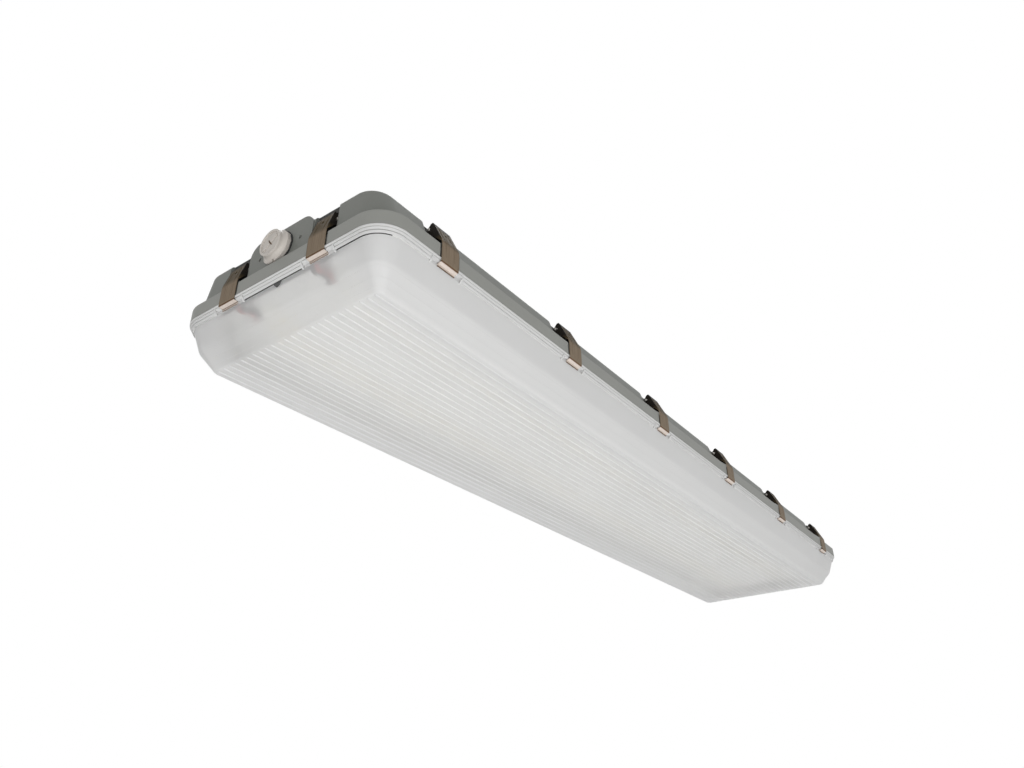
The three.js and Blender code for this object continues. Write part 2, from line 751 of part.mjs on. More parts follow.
// Folded sheet tray with the holes of everything screwed to it
function gearTray() {
  const middle = up(trayHeight + traySheet / 2);
  const line = [
    new THREE.Vector2(-trayHalfWidth, middle + trayFold), new THREE.Vector2(-trayHalfWidth, middle),
    new THREE.Vector2(trayHalfWidth, middle), new THREE.Vector2(trayHalfWidth, middle + trayFold),
  ];
  const holePlaces = [
    ...postPlaces(), [driverFootX(-1), 0], [driverFootX(1), 0], [groundScrewX, 0],
  ];
  const holes = holePlaces.map(([x, y]) =>
    bar(axisZ, screwShankRadius + screwClearance, 4 * traySheet, 8, x, y, middle));
  const sheet = edgePrism(sheetOutline(line, traySheet), trayLength);
  return unite([sheet, ...boardPlaces().flatMap(boardClips)]).subtract(unite(holes));
}

function boardConnector(row) {
  const x = -boardCentreX - boardLength / 2 + connectorInset + connectorLength / 2;
  return box(connectorLength, connectorWidth, connectorHeight,
    x, row * boardOffsetY + connectorShift, up(boardUnder - seatGap - connectorHeight / 2));
}

// Lead from a board's connector, round the end of the tray and along its top to the driver
function lead(row, strand) {
  const startX = -boardCentreX - boardLength / 2 + connectorInset - seatGap;
  const endX = driverCentreX - driverLength / 2 - seatGap;
  const low = up(boardUnder - seatGap - connectorHeight / 2);
  const high = up(trayHeight + traySheet + driverHeight / 2);
  const y = row * boardOffsetY + connectorShift + strand * leadSpread;
  const endY = row * driverWidth / 4 + strand * leadSpread;
  const turnX = -trayLength / 2 - leadSag / 2;
  const path = new THREE.CatmullRomCurve3([
    new THREE.Vector3(startX, y, low),
    new THREE.Vector3(startX - leadSag / 2, y, low),
    new THREE.Vector3(turnX, y, up(trayHeight)),
    new THREE.Vector3(turnX + leadSag, y, up(trayHeight + leadSag)),
    new THREE.Vector3((turnX + endX) / 2, (y + endY) / 2, up(trayHeight + leadSag)),
    new THREE.Vector3(endX - leadSag, endY, high),
    new THREE.Vector3(endX, endY, high),
  ], false, 'centripetal');
  const section = new THREE.Shape().absarc(0, 0, leadRadius, 0, 2 * Math.PI);
  const round = new THREE.Shape(section.getPoints(6).slice(0, 6));
  return new THREE.ExtrudeGeometry(round, { steps: 22, extrudePath: path });
}

// Driver case with a screw foot at each end, standing on the tray
function driver() {
  const floor = up(trayHeight + traySheet + seatGap);
  const length = driverLength;
  const feet = [-1, 1].map((end) => box(2 * driverFootLength, driverWidth / 2, driverFootThickness,
    driverFootX(end) - end * driverFootLength / 2, 0, floor + driverFootThickness / 2));
  const holes = [-1, 1].map((end) => bar(axisZ, screwShankRadius + screwClearance,
    4 * driverFootThickness, 8, driverFootX(end), 0, floor));
  return unite([box(length, driverWidth, driverHeight, driverCentreX, 0, floor + driverHeight / 2), ...feet])
    .subtract(unite(holes));
}

// Screw that goes down through a foot of the driver into the tray
function driverScrew(end) {
  const seat = up(trayHeight + traySheet + seatGap) + driverFootThickness + seatGap;
  return screw(driverScrewLength).rotateX(Math.PI).translate(driverFootX(end), 0, seat);
}

function terminalBlock() {
  const floor = up(trayHeight + traySheet + seatGap);
  const body = box(terminalLength, terminalWidth, terminalHeight,
    terminalX, terminalY, floor + terminalHeight / 2);
  const slotPitch = terminalLength / terminalSlotCount;
  const slots = Array.from({ length: terminalSlotCount }, (_, i) =>
    box(terminalSlotWidth, terminalWidth / 2, 2 * terminalSlotDepth,
      terminalX + (i - (terminalSlotCount - 1) / 2) * slotPitch, terminalY, floor + terminalHeight));
  return solidOf(body).subtract(unite(slots));
}

function groundScrew() {
  return screw(groundScrewLength).rotateX(Math.PI)
    .translate(groundScrewX, 0, up(trayHeight + traySheet + seatGap));
}

const fixture = new THREE.Group();

function addMesh(name, shape, finish) {
  const [color, roughness, metalness] = finishes[finish];
  const geometry = shape instanceof THREE.BufferGeometry ? shape : geometryOf(shape);
  const mesh = new THREE.Mesh(geometry, new THREE.MeshStandardMaterial({ color, roughness, metalness }));
  mesh.name = name;
  fixture.add(mesh);
  return mesh;
}

addMesh('housing', housing(), 'housing');
addMesh('housing_gasket', housingGasket(), 'rubber');
addMesh('lens', lens(), 'lens');
addMesh('gear_tray', gearTray(), 'white');
postPlaces().forEach(([x, y], i) => addMesh(`tray_screw_${i + 1}`,
  screw(postScrewLength).translate(x, y, up(trayHeight - seatGap)), 'steel'));
boardPlaces().forEach((place, i) => addMesh(`led_board_${i + 1}`, ledBoard(place), 'board'));
[-1, 1].forEach((row, i) => {
  addMesh(`board_connector_${i + 1}`, boardConnector(row), 'white');
  addMesh(`lead_red_${i + 1}`, lead(row, 1), 'red');
  addMesh(`lead_black_${i + 1}`, lead(row, -1), 'black');
  addMesh(`driver_screw_${i + 1}`, driverScrew(row), 'steel');
});
addMesh('driver', driver(), 'aluminium');
addMesh('terminal_block', terminalBlock(), 'white');
addMesh('ground_screw', groundScrew(), 'brass');
addMesh('hub_gasket', hubGasket(), 'rubber');
addMesh('entry_hub', entryHub(), 'plug');
addMesh('hub_locknut', hubLocknut(), 'plug');
addMesh('plug_seal', plugSeal(), 'rubber');
addMesh('entry_plug', entryPlug(), 'plug');
const latchShapes = new Map([[sideLatch, geometryOf(latch(sideLatch))], [endLatch, geometryOf(latch(endLatch))]]);
for (const place of places) {
  addMesh(`pin_${place.name}`, pinBar(place, pinRadius, strapWidth + 2 * pinOverhang, 8), 'steel');
  const mesh = addMesh(`latch_${place.name}`, latchShapes.get(place.form), 'steel');
  mesh.position.set(place.x, place.y, up(0));
  mesh.rotation.z = place.turn;
}

export default fixture;
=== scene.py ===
"""Looks of the vapor tight light fixture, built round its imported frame.

Sizes are in millimetres in the part's frame and become metres where a mesh is made.
Heights are measured above the top face of the lens flange, as in the part's source.
"""

from collections import namedtuple
from math import atan2, cos, dist, hypot, pi, radians, sin, sqrt, tan

import bpy
from mathutils import Matrix, Vector


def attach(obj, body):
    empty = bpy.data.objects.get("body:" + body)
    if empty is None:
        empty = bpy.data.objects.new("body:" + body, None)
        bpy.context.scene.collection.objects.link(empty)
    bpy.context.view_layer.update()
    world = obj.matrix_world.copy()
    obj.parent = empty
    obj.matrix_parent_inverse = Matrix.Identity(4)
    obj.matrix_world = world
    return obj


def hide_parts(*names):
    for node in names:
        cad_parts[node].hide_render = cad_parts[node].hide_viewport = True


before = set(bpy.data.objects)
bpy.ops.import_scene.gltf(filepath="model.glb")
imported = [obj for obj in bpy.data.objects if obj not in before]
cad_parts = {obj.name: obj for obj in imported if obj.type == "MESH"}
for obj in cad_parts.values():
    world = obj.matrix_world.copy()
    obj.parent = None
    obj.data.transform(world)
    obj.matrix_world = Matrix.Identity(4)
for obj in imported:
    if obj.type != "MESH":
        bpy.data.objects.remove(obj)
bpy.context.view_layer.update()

# Metres in a millimetre, least step between rings, share of a line that a rounding may take, least edge bend
MM = 0.001
HAIR = 0.01
ROUNDING_SHARE = 0.45
EDGE_ANGLE = radians(35)

# Rounded outline that the lens flange and the housing rim share
HALF_LENGTH = 648.5
HALF_WIDTH = 152.5
RIM_CORNER = 33
CORNER_STEPS = 14
CORNERS = ((-1, -1), (1, -1), (1, 1), (-1, 1))
SEAT_GAP = 0.2
OVERRUN = 1

# Housing, with its walls as end inset, side inset and corner radius
HOUSING_HEIGHT = 60.8
RIM_HEIGHT = 16.2
RIM_ROUND = 1.4
SHOULDER_HEIGHT = 53.5
SHOULDER_ROUND = 3.5
CROWN_RISE = 2.6
WALL_BASE = (6.5, 11, 27)
WALL_TOP = (8, 23.5, 23)
WALL_CROWN = (13, 28.5, 18)
SKIN = 3
SPINE_HALF_WIDTH = 48
SPINE_CORNER = 16
BOSS_INSET = 6.2
CHANNEL_INSET = 4.5
CHANNEL_WIDTH = 6
CHANNEL_DEPTH = 9
POST_RADIUS = 5.5
POST_X = 561.5
POST_Y = 88
POST_FOOT = 11.2
PILOT_RADIUS = 1.7
PILOT_DEPTH = 12
LINING_SLOPE = 0.7
LINING_START = 12.5
LINING_END_REACH = 25
LINING_SIDE_REACH = 37.5
MARK_HOLE_SPACING = 61
MARK_HOLE_RADIUS = 1.9
MARK_HOLE_DEPTH = 1.6

# Lens
LENS_DEPTH = 51.9
LENS_SKIN = 2.6
TONGUE_INSET = 6
TONGUE_HEIGHT = 6.1
LIP_FACE = 0.8
STEP_INSET = 2.6
STEP_DEPTH = 4.6
LIP_INSET = 4.4
LIP_DEPTH = 7.8
LIP_ROUND = 0.5
GROOVE_WIDTH = 1.2
GROOVE_DEPTH = 2.2
SEAM_WIDTH = 0.7
SEAM_DEPTH = 1.2
UPPER_SEAM = (0.52, 0.66)
FINE_DEPTH = 0.6
SEAM_END_X = 627
SLACK = 0.1
LIP_WALL_INSET = 5.8
KNEE_INSET = 14.6
KNEE_DEPTH = 30.4
KNEE_ROUND = 3
FLOOR_END = 32.3
FLOOR_SIDE = 31
FLOOR_CORNER = 7
FLOOR_CAP_INSET = 12
WALL_LINES = (-47.6, -41.2, -33.6)
WALL_LINE_RISE = 0.22
WALL_LINE_FOOT = 1.2
RIB_COUNT = 25
RIB_PITCH = 9.53
RIB_WIDTH = 2.8
RIB_HEIGHT = 0.7
RIB_SETBACK = 1
RIB_END_TAPER = 3
RIB_END_STEPS = 5
RIB_END_SHARE = 0.06
RIB_STEPS = 8
SEAT_DEPTH = 4.2
SEAT_SIDE = 8.5
STOP_WIDTH = 2.2
STOP_RISE = 1.1

# Latches
SIDE_LATCH_COUNT = 6
SIDE_LATCH_PITCH = 222.4
SIDE_LATCH_SHIFT = -2.5
END_LATCH_Y = 66
STRAP_WIDTH = 24.4
STRAP_SHEET = 0.9
STRAP_STAND_OFF = 0.22
STRAP_OUT = STRAP_STAND_OFF + STRAP_SHEET / 2
STRAP_EDGE_ROUND = 0.22
STRAP_BEND_ROUND = 1.6
HOOK_BEND_ROUND = 0.35
BEAD_WIDTH = 1.4
BEAD_RISE = 0.18
BEAD_OFFSETS = (-6.2, 6.2)
BEAD_FOOT = 3
BEAD_TOP_SHARE = 0.8
KINK_HEIGHT = 19.5
KINK_ROUND = 2
HOOK_CLEARANCE = 0.45
HOOK_REACH = 4.9
HOOK_HEM = 2
STRAP_HOLE_RADIUS = 2
STRAP_HOLE_HEIGHT = 35.5
PIN_RADIUS = 2
PIN_OVERHANG = 2.2
PIN_FIT = 0.1
PIN_ROUND = 0.6
PIN_CAP_RADIUS = 0.3
EAR_FIT = 0.25
EAR_RADIUS = 4.1
EAR_START = radians(155)
EAR_ARC = radians(100)
EAR_STEPS = 8
# Heights of painted shade on the strap's ears
EAR_SHADE = (22, 30)
POCKET_SIDE = 4.8
NOTCH_DEPTH = 2.9
NOTCH_SIDE = 1.8
LUG_WIDTH = 12
LUG_NOSE = 3.3
LUG_FOOT = 2.6
LUG_SLOPE = radians(60)
FOLD_REACH = 3.2
FOLD_FALL = 1.5
SHELF_HEIGHT = 49
Latch = namedtuple("Latch", "pin top floor shelf")
SIDE_LATCH = Latch((-17, 40.3), (-13.2, 48.6), 30, 30)
END_LATCH = Latch((-10.5, 37.5), (-7.2, 45.5), 21.2, 12.3)

# Cable entry, distances outward from the face of the boss
ENTRY_HEIGHT = 37.4
HUB_BASE = 1
COLLAR_RADIUS = 18.8
COLLAR_THICKNESS = 4.6
HUB_FLARE = ((17.8, 5.6), (16.9, 6.2), (16.1, 7), (15.5, 8), (15.15, 9), (15, 10.2), (13, 10.2),
             (13, 8.6), (11, 8.6))
HUB_CHAMFER = 0.5
HUB_SLEEVE_RADIUS = 12
HUB_SLEEVE_REACH = 14
HUB_BORE_RADIUS = 9.6
HUB_LOBE_RADIUS = 11
HUB_LOBE_REACH = 20.2
HUB_LOBE_TURN = radians(142)
HUB_NOTCH = (4.4, 2.4, 18.6)
SLEEVE_FIT = 0.3
PLUG_BASE = 9
PLUG_NECK_RADIUS = 12.8
PLUG_NECK_LENGTH = 1.3
PLUG_HEAD_RADIUS = 15.3
PLUG_HEAD_HEIGHT = 2.4
PLUG_SHANK_RADIUS = 9
PLUG_SHANK_LENGTH = 12
PLUG_FACE_RADIUS = 12.8
PLUG_FACE_DEPTH = 1.1
PLUG_STEP_RADIUS = 10.4
PLUG_STEP_RISE = 0.35
PLUG_BAR_WIDTH = 4.2
PLUG_LINE_WIDTH = 0.6
PLUG_BAR_TURN = radians(37)
PLUG_SLOT_WIDTH = 1.7
PLUG_SLOT_LENGTH = 9.4
PLUG_SLOT_DEPTH = 1.6
PLUG_EDGE_ROUND = 0.35

# LED boards
BOARD_X = 303.25
BOARD_Y = 55
BOARD_UNDERSIDE = 8.2
CHIP_ROWS = (-9, 9)
CHIP_COUNT = 28
CHIP_SIZE = (5.6, 3, 0.8)
CHIP_PITCH = 20.4

# White wings beside the tray, between its folds and the housing's walls
WING_ROOT = 104.6
WING_REACH = 133
WING_LENGTH = 1256
WING_HEIGHT = 10.5
WING_SHEET = 0.8

# Leads from the boards, which hang in a loop past the tray's end: X, sideways shift and height
LEAD_RADIUS = 2.5
LEAD_SPREAD = 3
LEAD_SIDES = 12
LEAD_STEPS = 8
LEAD_START = (-598, 10, 5)
LEAD_LOOP = ((-612, 8, 3), (-624, 3, -5), (-632.5, 1, -9.5), (-636.8, 0, -7),
             (-635.5, 0, 2), (-632, 1, 10), (-624, 6, 20), (-610, 10, 26))
LEAD_END = (-315.6, 0, 25)
DRIVER_LEAD_Y = 13

# Dark tab under the flange at the entry end, as corners of a thin plate
TAB_X = -643.4
TAB_THICKNESS = 0.9
TAB_CORNERS = ((2, -5.2), (-6.2, -13.2), (-8, -13.2), (-15, -5.2))
TAB_EDGE_ROUND = 0.2

# Where painted light and shade change: height on the housing, X inside it, distance from the lens's middle
RIM_FADE = (15.2, 18.2)
RIM_LIT_GREY = (0.244, 0.248, 0.229)
WALL_SHADED_GREY = (0.157, 0.163, 0.147)
# Painted shade: the lining darkens to brown towards the far end, past the tray's end
FAR_SHADE = (575.0, 605.0)
FAR_SHADE_BROWN = (0.42, 0.37, 0.35)
# Painted shade: the lens grows darker and less clear outward to its long sides
CLEAR_TO = (76.0, 126.0)
SIDE_CLEARNESS = 0.25
SIDE_SHADE_TONE = 0.74

# Tones up a strap, by height in its own frame, with painted light under the hook, painted shade lines at the
# bends, painted shade on the leaning part and a painted shadow at the top
STRAP_SPAN = (-8.0, 50.0)
STRAP_TONES = {"underside_light": (0.63, 0.56, 0.51), "line": (0.12, 0.07, 0.04), "face": (0.236, 0.185, 0.134),
               "lean": (0.090, 0.066, 0.036), "painted_shadow": (0.024, 0.021, 0.018)}
STRAP_BANDS = ((-7.6, "line"), (-7.4, "underside_light"), (-4.9, "underside_light"), (-4.6, "line"), (-3.8, "line"),
               (-3.5, "face"), (17.0, "face"), (24.0, "lean"), (42.0, "lean"), (43.5, "painted_shadow"))

# Painted shade line, dark brown, where the hook's plate turns, by distance outward and by height
CREASE_SPAN = (-5.5, 0.5)
CREASE_OUT = (-4.48, -4.36, -3.64, -3.52)
CREASE_HEIGHTS = (-6.0, -5.9, -4.9, -4.8)

# Range that a noise mostly keeps to, depth of the fine grain and softness of the housing's edges
NOISE_LOW = 0.3
NOISE_HIGH = 0.7
GRAIN_RELIEF = 0.2
EDGE_SOFTNESS = 0.7
WHITE = (1.0, 1.0, 1.0)
BLACK = (0.0, 0.0, 0.0)
EVEN = (1.0, 1.0, 1.0)

# Grained finishes: colour, its spread, scales of patches and grain, roughness, relief, and on some finishes
# the metal, the stretch of the grain and the coat
GRAINED = {
    # Painted shade: grey on the lens's fine lines, pale grey in the groove, near black in the groove at the
    # dark corners
    "seam": ((0.42, 0.42, 0.41), 0.04, 40, 1400, (0.5, 0.7), 0.1),
    "joint": ((0.86, 0.86, 0.85), 0.04, 40, 1400, (0.5, 0.7), 0.1),
    "groove": ((0.075, 0.075, 0.072), 0.1, 40, 1400, (0.5, 0.7), 0.1),
    "rubber": ((0.018, 0.018, 0.018), 0.15, 40, 1400, (0.6, 0.8), 0.2),
    "tab": ((0.06, 0.062, 0.06), 0.1, 60, 1400, (0.5, 0.7), 0.2),
    "entry": ((0.51, 0.475, 0.435), 0.04, 60, 1600, (0.38, 0.5), 0.12),
    # Painted shade: dark brown in the plug's slot
    "slot": ((0.15, 0.10, 0.06), 0.1, 60, 1600, (0.5, 0.6), 0.12),
    # Painted shade: near black on the backs of the latch pockets
    "recess": ((0.022, 0.022, 0.02), 0.1, 40, 1400, (0.6, 0.8), 0.1),
    "enamel": ((0.86, 0.86, 0.84), 0.02, 20, 700, (0.3, 0.42), 0.08, 0.0, EVEN, 0.2),
    "board": ((0.85, 0.84, 0.79), 0.02, 30, 1200, (0.35, 0.5), 0.1),
    "chip": ((0.78, 0.60, 0.22), 0.06, 300, 2500, (0.3, 0.42), 0.1),
    "red": ((0.36, 0.015, 0.015), 0.05, 80, 1800, (0.3, 0.42), 0.05),
    "black": ((0.012, 0.012, 0.014), 0.1, 80, 1800, (0.3, 0.42), 0.05),
    "steel": ((0.55, 0.54, 0.52), 0.06, 90, 1500, (0.3, 0.42), 0.1, 1.0),
    "pin": ((0.42, 0.40, 0.37), 0.08, 90, 900, (0.3, 0.42), 0.15, 1.0),
    "driver": ((0.60, 0.61, 0.62), 0.04, 60, 600, (0.3, 0.45), 0.15, 1.0, (0.05, 1, 1)),
    "brass": ((0.55, 0.42, 0.16), 0.06, 120, 1500, (0.3, 0.42), 0.1, 1.0),
}

# Finishes of the lens: tone, roughness, clearness, glow, bending of light, and tone at the long sides as
# painted shade
MILKY = {
    "lens": ((0.985, 0.985, 0.98), (0.29, 0.32), 0.62, 0.2, 1.3, SIDE_SHADE_TONE),
    "flute": ((0.98, 0.98, 0.985), (0.3, 0.36), 0.38, 0.3, 1.3, SIDE_SHADE_TONE),
    "inner": (WHITE, (0.02, 0.04), 0.98, 0.0, 1.05, SIDE_SHADE_TONE),
    "brim": ((0.74, 0.74, 0.735), (0.3, 0.36), 0.1, 0.15, 1.3, 0.84),
}

# Nodes of the frame that keep their own shape and only get a finish
NODE_FINISHES = {
    "rubber": ("housing_gasket", "hub_gasket", "plug_seal"),
    "enamel": ("gear_tray", "board_connector_1", "board_connector_2", "terminal_block"),
    "steel": (*[f"tray_screw_{i}" for i in (1, 2, 3, 4)], "driver_screw_1", "driver_screw_2"),
    "board": [f"led_board_{i}" for i in (1, 2, 3, 4)],
    "driver": ("driver",),
    "brass": ("ground_screw",),
    "entry": ("hub_locknut",),
}

# Floor and lights, in metres and watts: a lamp is its name, place, size and power
FLOOR_Z = -3.4
FLOOR_SIZE = 90.0
FLOOR_WHITE = 0.42
WORLD_LIGHT = 0.45
LAMPS = (
    ("key_below", (-1.6, -1.2, -1.4), 3.4, 40.5),
    ("fill_below", (0.3, -0.6, -1.9), 3.4, 28.0),
    ("soft_above", (1.2, 1.8, 2.4), 3.0, 60.0),
)

# Camera of the photograph, its place in millimetres and its reach in metres
CAMERA_PLACE = (-1020.2, -562.3, -534.1)
CAMERA_UP = (-0.3875, -0.2929, 0.8741)
CAMERA_FORWARD = (0.7057, 0.5158, 0.4857)
CAMERA_REACH = (0.01, 100.0)
FOCAL_PIXELS = 805.27
IMAGE_WIDTH = 1024
SENSOR_WIDTH = 36.0


def up(height):
    """Height above the flange face, as a Z in the part's frame."""
    return height - HOUSING_HEIGHT


def blended(a, b, share):
    """The tuple that lies at a share of the way from a to b."""
    return tuple(p + (q - p) * share for p, q in zip(a, b))


def softened(line, radius, steps=3):
    """A line of flat points or ring settings with its inner corners rounded."""
    axes = (0, 1) if len(line[0]) == 2 else (1, 3)

    def toward(at, other):
        length = dist([at[i] for i in axes], [other[i] for i in axes])
        return blended(at, other, min(ROUNDING_SHARE, radius / length))
    out = [line[0]]
    for before, at, after in zip(line, line[1:], line[2:]):
        start, end = toward(at, before), toward(at, after)
        for i in range(steps + 1):
            share = i / steps
            out.append(blended(blended(start, at, share), blended(at, end, share), share))
    out.append(line[-1])
    return out


def arc(centre, radius, start, sweep, steps):
    """Points on an arc, with both its ends."""
    angles = [start + sweep * i / steps for i in range(steps + 1)]
    return [(centre[0] + radius * cos(angle), centre[1] + radius * sin(angle)) for angle in angles]


def circle(radius, segments):
    return arc((0, 0), radius, 0, 2 * pi, segments)[:-1]


def rounded_outline(half_x, half_y, corner):
    """Rounded rectangle, anticlockwise from above."""
    points = []
    for quarter, (sign_x, sign_y) in enumerate(CORNERS[2:] + CORNERS[:2]):
        centre = (sign_x * (half_x - corner), sign_y * (half_y - corner))
        points += arc(centre, corner, quarter * pi / 2, pi / 2, CORNER_STEPS)
    return points


def ring(setting):
    """Loop of points from (end inset, side inset, corner radius, height)."""
    end, side, corner, height = setting
    outline = rounded_outline(HALF_LENGTH - end, HALF_WIDTH - side, corner)
    return [(x, y, up(height)) for x, y in outline]


def even(inset, height):
    """Ring setting with the same inset all round."""
    return (inset, inset, max(RIM_CORNER - inset, FLOOR_CORNER), height)


def floor_ring(inset, height):
    """Ring setting of the lens's floor, drawn in by an inset."""
    return (FLOOR_END + inset, FLOOR_SIDE + inset, FLOOR_CORNER, height)


def lofted(loops):
    """Closed solid through loops of points, the first one at the lower cap."""
    count = len(loops[0])
    verts = [point for loop in loops for point in loop]
    faces = [tuple(reversed(range(count)))]
    for level in range(len(loops) - 1):
        for i in range(count):
            a = level * count + i
            b = level * count + (i + 1) % count
            faces.append((a, b, b + count, a + count))
    top = (len(loops) - 1) * count
    faces.append(tuple(range(top, top + count)))
    return verts, faces


def stack(settings):
    return lofted([ring(setting) for setting in settings])


def prism(outline, width, centre_x=0.0):
    """Solid across an edge: the outline is (outward, height), and it runs along local X."""
    area = sum(a[0] * b[1] - b[0] * a[1] for a, b in zip(outline, outline[1:] + outline[:1]))
    points = outline if area > 0 else outline[::-1]
    low = [(centre_x - width / 2, out, height) for out, height in points]
    high = [(centre_x + width / 2, out, height) for out, height in points]
    return lofted([low, high])


def block(size, centre):
    """Box as a closed solid."""
    half = [s / 2 for s in size]
    low = [(centre[0] + sx * half[0], centre[1] + sy * half[1], centre[2] - half[2])
           for sx, sy in CORNERS]
    high = [(x, y, centre[2] + half[2]) for x, y, _ in low]
    return lofted([low, high])


def rod(axis, radius, length, centre, segments=24):
    """Round bar along X, Y or Z about a centre."""
    loops = []
    for end in (-length / 2, length / 2):
        loop = []
        for a, b in circle(radius, segments):
            local = {"x": (end, a, b), "y": (b, end, a), "z": (a, b, end)}[axis]
            loop.append(tuple(c + o for c, o in zip(centre, local)))
        loops.append(loop)
    return lofted(loops)


def turned(profile, segments=64):
    """Solid of revolution about Z from (radius, z) pairs, both ends closed by flat caps."""
    return lofted([[(x, y, z) for x, y in circle(radius, segments)] for radius, z in profile])


def moved(solid, matrix):
    verts, faces = solid
    return [tuple(matrix @ Vector(v)) for v in verts], faces


def gathered(solids):
    """Several solids that don't touch, as one mesh."""
    verts, faces = [], []
    for some_verts, some_faces in solids:
        base = len(verts)
        verts += some_verts
        faces += [tuple(base + i for i in face) for face in some_faces]
    return verts, faces


def linked(name, data):
    """New object in the scene."""
    obj = bpy.data.objects.new(name, data)
    bpy.context.scene.collection.objects.link(obj)
    return obj


def mesh_object(name, solid):
    verts, faces = solid
    mesh = bpy.data.meshes.new(name)
    mesh.from_pydata([tuple(c * MM for c in v) for v in verts], [], faces)
    mesh.validate()
    return linked(name, mesh)


def baked(obj):
    """Applies the modifiers of an object."""
    graph = bpy.context.evaluated_depsgraph_get()
    mesh = bpy.data.meshes.new_from_object(obj.evaluated_get(graph))
    old = obj.data
    obj.modifiers.clear()
    obj.data = mesh
    bpy.data.meshes.remove(old)


def combine(obj, operation, solid):
    """Boolean of an object with a solid."""
    tool = mesh_object("tool", solid)
    modifier = obj.modifiers.new("combine", "BOOLEAN")
    modifier.operation = operation
    modifier.solver = "MANIFOLD"
    modifier.object = tool
    baked(obj)
    bpy.data.meshes.remove(tool.data)


def join(obj, solid):
    combine(obj, "UNION", solid)


def cut(obj, solid):
    combine(obj, "DIFFERENCE", solid)


def taken(obj):
    """Solid of an object, which is then removed."""
    solid = ([tuple(c / MM for c in v.co) for v in obj.data.vertices],
             [tuple(p.vertices) for p in obj.data.polygons])
    bpy.data.meshes.remove(obj.data)
    return solid


def finished(obj, finishes, choose):
    """Gives each face of an object the finish that is chosen by its centre and normal."""
    obj.data.materials.clear()
    for finish in finishes:
        obj.data.materials.append(MATERIALS[finish])
    for face in obj.data.polygons:
        face.material_index = finishes.index(choose(face.center / MM, face.normal))


def shaded(obj, angle=32):
    """Smooth faces with sharp edges above an angle, and normals led by the large faces."""
    obj.data.shade_smooth()
    obj.data.set_sharp_from_angle(angle=radians(angle))
    modifier = obj.modifiers.new("normals", "WEIGHTED_NORMAL")
    modifier.keep_sharp = True
    return obj


def rounded_edges(obj, width):
    modifier = obj.modifiers.new("edges", "BEVEL")
    modifier.width = width * MM
    modifier.segments = 2
    modifier.angle_limit = EDGE_ANGLE


def latch_places():
    """Name, form and placing matrix of each latch, with local Y pointing outward."""
    places = []

    def add(name, form, x, y, turn):
        matrix = Matrix.Translation((x, y, up(0))) @ Matrix.Rotation(turn, 4, "Z")
        places.append((name, form, matrix))
    for i in range(SIDE_LATCH_COUNT):
        x = (i - (SIDE_LATCH_COUNT - 1) / 2) * SIDE_LATCH_PITCH + SIDE_LATCH_SHIFT
        add(f"front_{i + 1}", SIDE_LATCH, x, -HALF_WIDTH, pi)
        add(f"back_{i + 1}", SIDE_LATCH, x, HALF_WIDTH, 0)
    for i, side in enumerate((-1, 1)):
        add(f"near_{i + 1}", END_LATCH, -HALF_LENGTH, side * END_LATCH_Y, pi / 2)
        add(f"far_{i + 1}", END_LATCH, HALF_LENGTH, side * END_LATCH_Y, -pi / 2)
    return places


PLACES = latch_places()
POCKET_WIDTH = STRAP_WIDTH + 2 * POCKET_SIDE
NOTCH_WIDTH = STRAP_WIDTH + 2 * NOTCH_SIDE
INWARD = [(matrix.inverted(), form) for _, form, matrix in PLACES]
# Turns a piece made about Z so that it points along -X from the face of the boss
BOSS_FACE = (BOSS_INSET - HALF_LENGTH, 0, up(ENTRY_HEIGHT))
ENTRY = Matrix.Translation(BOSS_FACE) @ Matrix.Rotation(-pi / 2, 4, "Y")


def at_places(make):
    """One solid for each latch, made from its form and put in place."""
    return gathered([moved(make(form), matrix) for _, form, matrix in PLACES])


def spine(inset, foot):
    """Raised back of the housing, drawn in by a wall."""
    half = SPINE_HALF_WIDTH - inset
    corner = SPINE_CORNER - inset
    outline = [(-half, foot), (half, foot)]
    for centre, start in ((half - corner, 0), (corner - half, pi / 2)):
        outline += arc((centre, -corner - inset), corner, start, pi / 2, CORNER_STEPS)
    return prism(outline, 2 * (HALF_LENGTH - BOSS_INSET - inset))


def housing_outer():
    walls = [even(0, RIM_HEIGHT), (*WALL_BASE, RIM_HEIGHT), (*WALL_TOP, SHOULDER_HEIGHT),
             (*WALL_CROWN, SHOULDER_HEIGHT + CROWN_RISE)]
    lower = softened([even(0, SEAT_GAP), *walls[:3]], RIM_ROUND)
    upper = softened(walls[1:], SHOULDER_ROUND, 4)
    return stack(lower[:-1] + upper[1:])


def housing_cavity():
    inset = CHANNEL_INSET + CHANNEL_WIDTH + SKIN
    corner = RIM_CORNER - inset
    rim_corner = corner - SKIN
    roof = SHOULDER_HEIGHT + CROWN_RISE - SKIN
    return stack([
        (inset, inset, corner, -OVERRUN),
        (inset, inset, corner, RIM_HEIGHT - SKIN),
        (inset, WALL_BASE[1] + SKIN, corner, RIM_HEIGHT - SKIN + HAIR),
        (inset, WALL_TOP[1] + SKIN, rim_corner, roof - SKIN),
        (inset + SKIN, WALL_CROWN[1] + SKIN, rim_corner - SKIN, roof),
    ])


def plain_bar(inner, low, high, width):
    """Bar across a latch's place, from a depth out past the outline."""
    return prism([(inner, low), (OVERRUN, low), (OVERRUN, high), (inner, high)], width)


def pocket_backing(form):
    return plain_bar(-form.floor - SKIN, RIM_HEIGHT - SKIN, HOUSING_HEIGHT, POCKET_WIDTH + 2 * SKIN)


def pocket(form):
    return prism([
        (OVERRUN, RIM_HEIGHT), (-form.floor, RIM_HEIGHT), (-form.floor, SHELF_HEIGHT - CROWN_RISE),
        (-form.shelf - HAIR, SHELF_HEIGHT), (-form.shelf, HOUSING_HEIGHT + OVERRUN),
        (OVERRUN, HOUSING_HEIGHT + OVERRUN),
    ], POCKET_WIDTH)


def notch(form):
    return plain_bar(-NOTCH_DEPTH, -OVERRUN, RIM_HEIGHT + OVERRUN, NOTCH_WIDTH)


